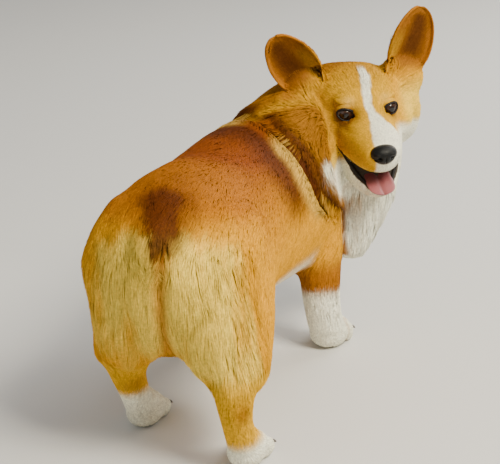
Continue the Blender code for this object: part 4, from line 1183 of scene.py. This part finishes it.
# Each piece of the coat, with the name of a slot
PARTS = {
    "back": "torso", "flank": "torso", "breeches": "thigh", "neck": "neck", "bib": "neck", "head": "head",
    "face": "head", "ears": "ear", "legs": "hind_leg", "feet": "forepaw", "tail": "tail",
}
PIECE_TUFTS = 19000


def part_of(q):
    """Which piece of the coat each root belongs to, by its strongest region."""
    upper = step(0.205, 0.215, q.p[:, 2])
    return np.stack((
        0.3 * upper, 0.3 * (1 - upper), q.breech, q.neck, q.bib, q.head * 0.9, q.face * 0.95,
        q.ear * 1.1, q.leg * 1.05, q.paw * 1.1, q.tail,
    ), 1).argmax(1)


# Materials
def feed(node, inputs):
    """Each input of a node takes a value, or a link from the socket that is given."""
    for name, value in inputs.items():
        if isinstance(value, bpy.types.NodeSocket):
            node.id_data.links.new(value, node.inputs[name])
        else:
            node.inputs[name].default_value = value


def shade(material, inputs):
    feed(material.node_tree.nodes["Principled BSDF"], inputs)


def new_material(name, inputs):
    material = bpy.data.materials.new(name)
    material.use_nodes = True
    shade(material, inputs)
    return material


def new_node(material, kind, output, inputs, **settings):
    """The output of a new node, which has these settings and inputs."""
    node = material.node_tree.nodes.new("ShaderNode" + kind)
    for name, value in settings.items():
        setattr(node, name, value)
    feed(node, inputs)
    return node.outputs[output]


def surface(material, colour, height, strength, distance):
    """The material's colour and its bumps."""
    bumps = {"Strength": strength, "Distance": distance, "Height": height}
    shade(material, {"Base Color": colour, "Normal": new_node(material, "Bump", "Normal", bumps)})


def streaked(material, noise, low, high, start=0.0, end=1.0):
    """The painted colour, from low to high times as light as the noise goes from start to end."""
    span = {"From Min": start, "From Max": end, "To Min": low, "To Max": high}
    ramp = new_node(material, "MapRange", "Result", {"Value": noise, **span})
    painting = new_node(material, "Attribute", "Color", {}, attribute_name="Coat")
    return new_node(material, "VectorMath", "Vector", {0: painting, "Scale": ramp}, operation="SCALE")


def mixed(material, factor, low, high):
    colours = {"A": (*low, 1), "B": (*high, 1), "Factor": factor}
    return new_node(material, "Mix", "Result", colours, data_type="RGBA")


def noise_node(material, at, scale, detail):
    return new_node(material, "TexNoise", "Fac", {"Vector": at, "Scale": scale, "Detail": detail})


def coat_material(name, grain, strength, roughness):
    """Fine streaks of lighter and darker hair over the markings."""
    material = new_material(name, {"Roughness": roughness, "Specular IOR Level": 0.06})
    at = new_node(material, "TexCoord", "Object", {})
    colour = streaked(material, noise_node(material, at, grain, 4.0), 0.8, 1.16, start=0.3, end=0.7)
    surface(material, colour, noise_node(material, at, grain * 3, 3.0), strength, 0.0006)
    return material


def skin_material(name, colour, darker, grain, strength, roughness, coat=0.0, specular=0.35, paint=False):
    """Bare moist skin, horn or an eye's ball, mottled and finely bumped."""
    material = new_material(name, {
        "Roughness": roughness, "Specular IOR Level": specular, "Coat Weight": coat,
        "Coat Roughness": 0.04,
    })
    at = new_node(material, "TexCoord", "Object", {})
    noise = noise_node(material, at, grain, 4.0)
    if paint:
        mottled = streaked(material, noise, 0.8, 1.2)
    else:
        mottled = mixed(material, noise, darker, colour)
    cells = new_node(material, "TexVoronoi", "Distance", {"Vector": at, "Scale": grain * 1.5})
    surface(material, mottled, cells, strength, 0.0004)
    return material


def finish_piece(obj, slot, material, *nodes, shift=True):
    """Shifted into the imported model's frame, smooth, painted, on the root body."""
    if shift:
        obj.data.transform(Matrix.Translation(-ORIGIN))
    make_smooth(obj.data)
    obj.data.materials.clear()
    obj.data.materials.append(material)
    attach(obj, "root")
    if nodes:
        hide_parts(*nodes)


# Eyes, nose, tongue, lips and claws
IRIS = np.array((0.036, 0.014, 0.005))
EYE_WHITE = np.array((0.3, 0.2, 0.15))
LIMBUS = np.array((0.012, 0.006, 0.004))
PUPIL = np.array((0.003, 0.002, 0.002))
ON_SIDE = Matrix.Rotation(math.pi / 2, 4, "X")


def make_eye(side, name):
    ball = ellipsoid("eyeball_" + name, (0, 0, 0, *[EYE_RADIUS] * 3), turn=ON_SIDE, detail=(64, 40))
    mesh = ball.data
    points = coordinates(mesh)
    x, y, z = points.T
    away = np.hypot(x, z) * (y < 0) + 0.02 * (y >= 0)
    points *= (1 + 0.075 * step(0.0074, 0.002, away))[:, None]
    set_points(mesh, points)
    spokes = 1 + 0.25 * np.sin(np.arctan2(z, x) * 17)
    colours = painted(
        np.tile(EYE_WHITE, (len(points), 1)),
        (LIMBUS, step(0.008, 0.0073, away)),
        (IRIS, step(0.0071, 0.006, away)),
    )
    colours *= (1 + (spokes - 1) * step(0.0068, 0.005, away))[:, None]
    set_colour(mesh, painted(colours, (PUPIL, step(0.0036, 0.0031, away))))
    mesh.transform(eye_place(side))
    material = skin_material("eye_" + name, IRIS, IRIS * 0.5, 600, 0.0, 0.14, 0.25, paint=True)
    finish_piece(ball, "eye", material, "eye_" + name)


def make_rims(material):
    """The dark edge of each lid, as a thin tube round the opening."""
    rims = []
    count = 48
    for side in (1, -1):
        points = [slit_outline(side, k / count, EYE_RADIUS + 0.0011, 0.0002) for k in range(count)]
        middle = eye_place(side).translation
        rows = []
        for k in range(count):
            along = (points[(k + 1) % count] - points[k - 1]).normalized()
            out = (points[k] - middle).normalized()
            rows.append(ellipse(points[k], along.cross(out).normalized(), out, 0.0014, 0.0009, 8))
        rim = grid_object("rim", rows + [rows[0]], caps=False)
        rework(rim.data, weld, face_outwards)
        rims.append(rim)
    finish_piece(joined("lid_rims", rims), "head", material)


def make_nose(material):
    """The leather pad: flat on top, full at the front, with comma nostrils and the groove between."""
    nose = ellipsoid("nose_pad", (0, 0, 0, 1, 1, 1), turn=ON_SIDE, detail=(96, 64))
    points = coordinates(nose.data)
    x, y, z = points.T.copy()
    points[:, 2] = np.sign(z) * np.abs(z) ** 0.85
    points[:, 0] *= 1 + 0.1 * z - 0.16 * step(0.1, -0.9, z)
    points[:, 1] = y * (1 - 0.12 * np.clip(z, -1, 0) ** 2)
    points *= np.array(NOSE[3:])
    normals = unit(points / np.array(NOSE[3:]) ** 2)
    for side in (1, -1):
        for row in NOSTRILS:
            press(points, normals, row, side)
    press(points, normals, NOSE_GROOVE)
    set_points(nose.data, points)
    nose.data.transform(HEAD @ Matrix.Translation(NOSE[:3]))
    finish_piece(nose, "nose", material, "nose")


def make_tongue(material):
    """A broad tongue that leaves the mouth, with a groove along it and a lobe each side at its tip."""
    rows = []
    half_width, half_length, half_height = TONGUE[3:]
    for i in range(25):
        t = -1 + 2 * i / 24
        along = math.copysign(abs(t) ** 0.9, t)
        swell = math.sqrt(max(1 - t**4, 0.0))
        wide = half_width * 1.04 * swell * (1.0 if t < 0 else 0.94)
        row = []
        for turn in circle(32):
            c, s = math.cos(turn), math.sin(turn)
            groove = math.exp(-((c / 0.16) ** 2)) * 0.55 * (s > 0)
            rise = half_height * swell * s * (0.85 - groove) + 0.0022 * c * c
            lobe = -0.0016 * math.exp(-((c / 0.22) ** 2)) * step(0.5, 1.0, np.float64(-t))
            row.append(Vector((c * wide, along * half_length - lobe, rise)))
        rows.append(row)
    plain = grid_object("tongue_plain", rows)
    plain.modifiers.new("Round", "SUBSURF").levels = 1
    tongue = evaluated_copy(plain, "tongue_skin")
    remove(plain)
    points = coordinates(tongue.data)
    groove = np.exp(-((points[:, 0] / 0.0016) ** 2)) * (points[:, 2] > 0)
    # the tongue darker at its back inside the mouth and along its groove, as painted shade
    set_colour(tongue.data, painted(
        np.tile(np.array((0.18, 0.045, 0.05)), (len(points), 1)),
        (np.array((0.35, 0.105, 0.115)), step(0.004, -0.018, points[:, 1])),
        (np.array((0.2, 0.06, 0.06)), groove * 0.6),
    ))
    slope = Matrix.Rotation(TONGUE_SLOPE, 4, "X")
    tongue.data.transform(HEAD @ Matrix.Translation(TONGUE[:3]) @ slope)
    finish_piece(tongue, "tongue", material, "tongue")


def lip_edge(tree, half):
    """A dark edge laid on the skin, from the right corner round the front to the left one."""
    fine = smooth_sections([mirrored(row, -1) for row in half[:0:-1]] + half)
    points = []
    for x, y, z, r in fine:
        at, facing = tree.find_nearest(HEAD @ Vector((x, y, z)))[:2]
        points.append(at + facing * (r * 0.15))
    for _ in range(3):
        inner = [(a + b * 2 + c) / 4 for a, b, c in zip(points, points[1:], points[2:])]
        points = [points[0], *inner, points[-1]]
    return tube("lip", points, [row[3] for row in fine])


def make_lips(tree, material):
    lips = joined("lips", [lip_edge(tree, LOWER_EDGE), lip_edge(tree, UPPER_EDGE)])
    finish_piece(lips, "lower_jaw", material)


def make_claws(material):
    claws = []
    for paw, radii in paws():
        for toe in toes(paw, radii):
            points = []
            for share in (0.0, 0.25, 0.5, 0.75, 1.0):
                y = -TOE_RADII[1] + 0.0035 - 0.0105 * share
                z = 0.0004 + 0.002 * (1 - share) - 0.0038 * share**2
                points.append(toe @ Vector((0, y, z)))
            claws.append(tube("claw", points, (0.0021, 0.002, 0.0017, 0.0012, 0.0004)))
    made = joined("claws", claws)
    points = coordinates(made.data)
    points[:, 2] = np.maximum(points[:, 2], LOWEST)
    set_points(made.data, points)
    finish_piece(made, "forepaw", material)


# The floor and the light
LIT_PLACE = Vector((0.03, 0, 0.15))


def make_stage():
    bm = bmesh.new()
    bmesh.ops.create_grid(bm, x_segments=2, y_segments=2, size=4.0)
    floor = object_from("floor", bm)
    material = new_material("floor", {"Roughness": 0.85})
    noise = new_node(material, "TexNoise", "Fac", {"Scale": 3.0})
    shade(material, {"Base Color": mixed(material, noise, (0.66, 0.655, 0.64), (0.7, 0.695, 0.68))})
    floor.data.materials.append(material)
    world = bpy.data.worlds.new("studio")
    world.use_nodes = True
    light = {"Color": (1.0, 0.985, 0.95, 1), "Strength": 0.4}
    feed(world.node_tree.nodes["Background"], light)
    bpy.context.scene.world = world


def make_light(name, at, size, power, colour):
    data = bpy.data.lights.new(name, "AREA")
    data.size = size
    data.energy = power
    data.color = colour
    light = new_object(name, data)
    light.location = at
    light.rotation_euler = (LIT_PLACE - Vector(at)).to_track_quat("-Z", "Y").to_euler()


def dress():
    form = outer_form()
    sculpt(form)
    mesh = form.data
    rework(mesh, split_faces)
    points, normals, tris = coordinates(mesh), vertex_normals(mesh), triangles(mesh)
    tree = tree_of(points, tris)
    values = coat_values(Places(points, normals))
    skin = make_skin(form, values[:, 0])
    paint_skin(skin, tree)

    fur = coat_material("coat", 420, 0.25, 0.62)
    under = coat_material("undercoat", 520, 0.6, 0.7)
    black = skin_material(
        "dark_skin", (0.014, 0.01, 0.009), (0.006, 0.004, 0.004), 900, 0.35, 0.5, 0.04, 0.2)
    leather = skin_material(
        "nose_leather", (0.004, 0.004, 0.004), (0.001, 0.001, 0.001), 900, 0.6, 0.34, 0.04, 0.22)
    wet = skin_material(
        "tongue_skin", (0.6, 0.3, 0.3), (0.4, 0.1, 0.1), 1100, 0.45, 0.34, 0.35, paint=True)
    horn = skin_material("claw_horn", (0.075, 0.055, 0.042), (0.03, 0.022, 0.018), 260, 0.2, 0.35)

    for side, name in ((1, "left"), (-1, "right")):
        make_eye(side, name)
    make_rims(black)
    make_nose(leather)
    make_tongue(wet)
    make_lips(tree_of(coordinates(skin.data), triangles(skin.data)), black)
    make_claws(horn)

    q, arrays = grow_coat(points, normals, tris, values[:, 3], tree, Unwrap(form))
    part = part_of(q)
    for number, (name, slot) in enumerate(PARTS.items()):
        chosen = np.nonzero(part == number)[0]
        for batch, start in enumerate(range(0, len(chosen), PIECE_TUFTS)):
            rows = chosen[start : start + PIECE_TUFTS]
            piece = tufts(f"coat_{name}_{batch + 1}", *(a[rows] for a in arrays))
            finish_piece(piece, slot, fur, shift=False)
    pairs = ("ear", "thigh", "hind_leg", "foreleg", "hind_paw", "forepaw")
    flesh = [f"{pair}_{side}" for pair in pairs for side in ("left", "right")]
    finish_piece(skin, "torso", under, "torso", "neck", "head", "lower_jaw", "tail", *flesh)
    remove(form)


dress()
make_stage()
make_light("key", (-1.5, 0.9, 2.0), 0.9, 104, (1.0, 0.93, 0.76))
make_light("fill", (1.7, 1.7, 1.3), 2.0, 9, (1.0, 0.98, 0.94))
make_light("front", (-0.9, -1.8, 1.4), 1.8, 46, (1.0, 0.97, 0.9))
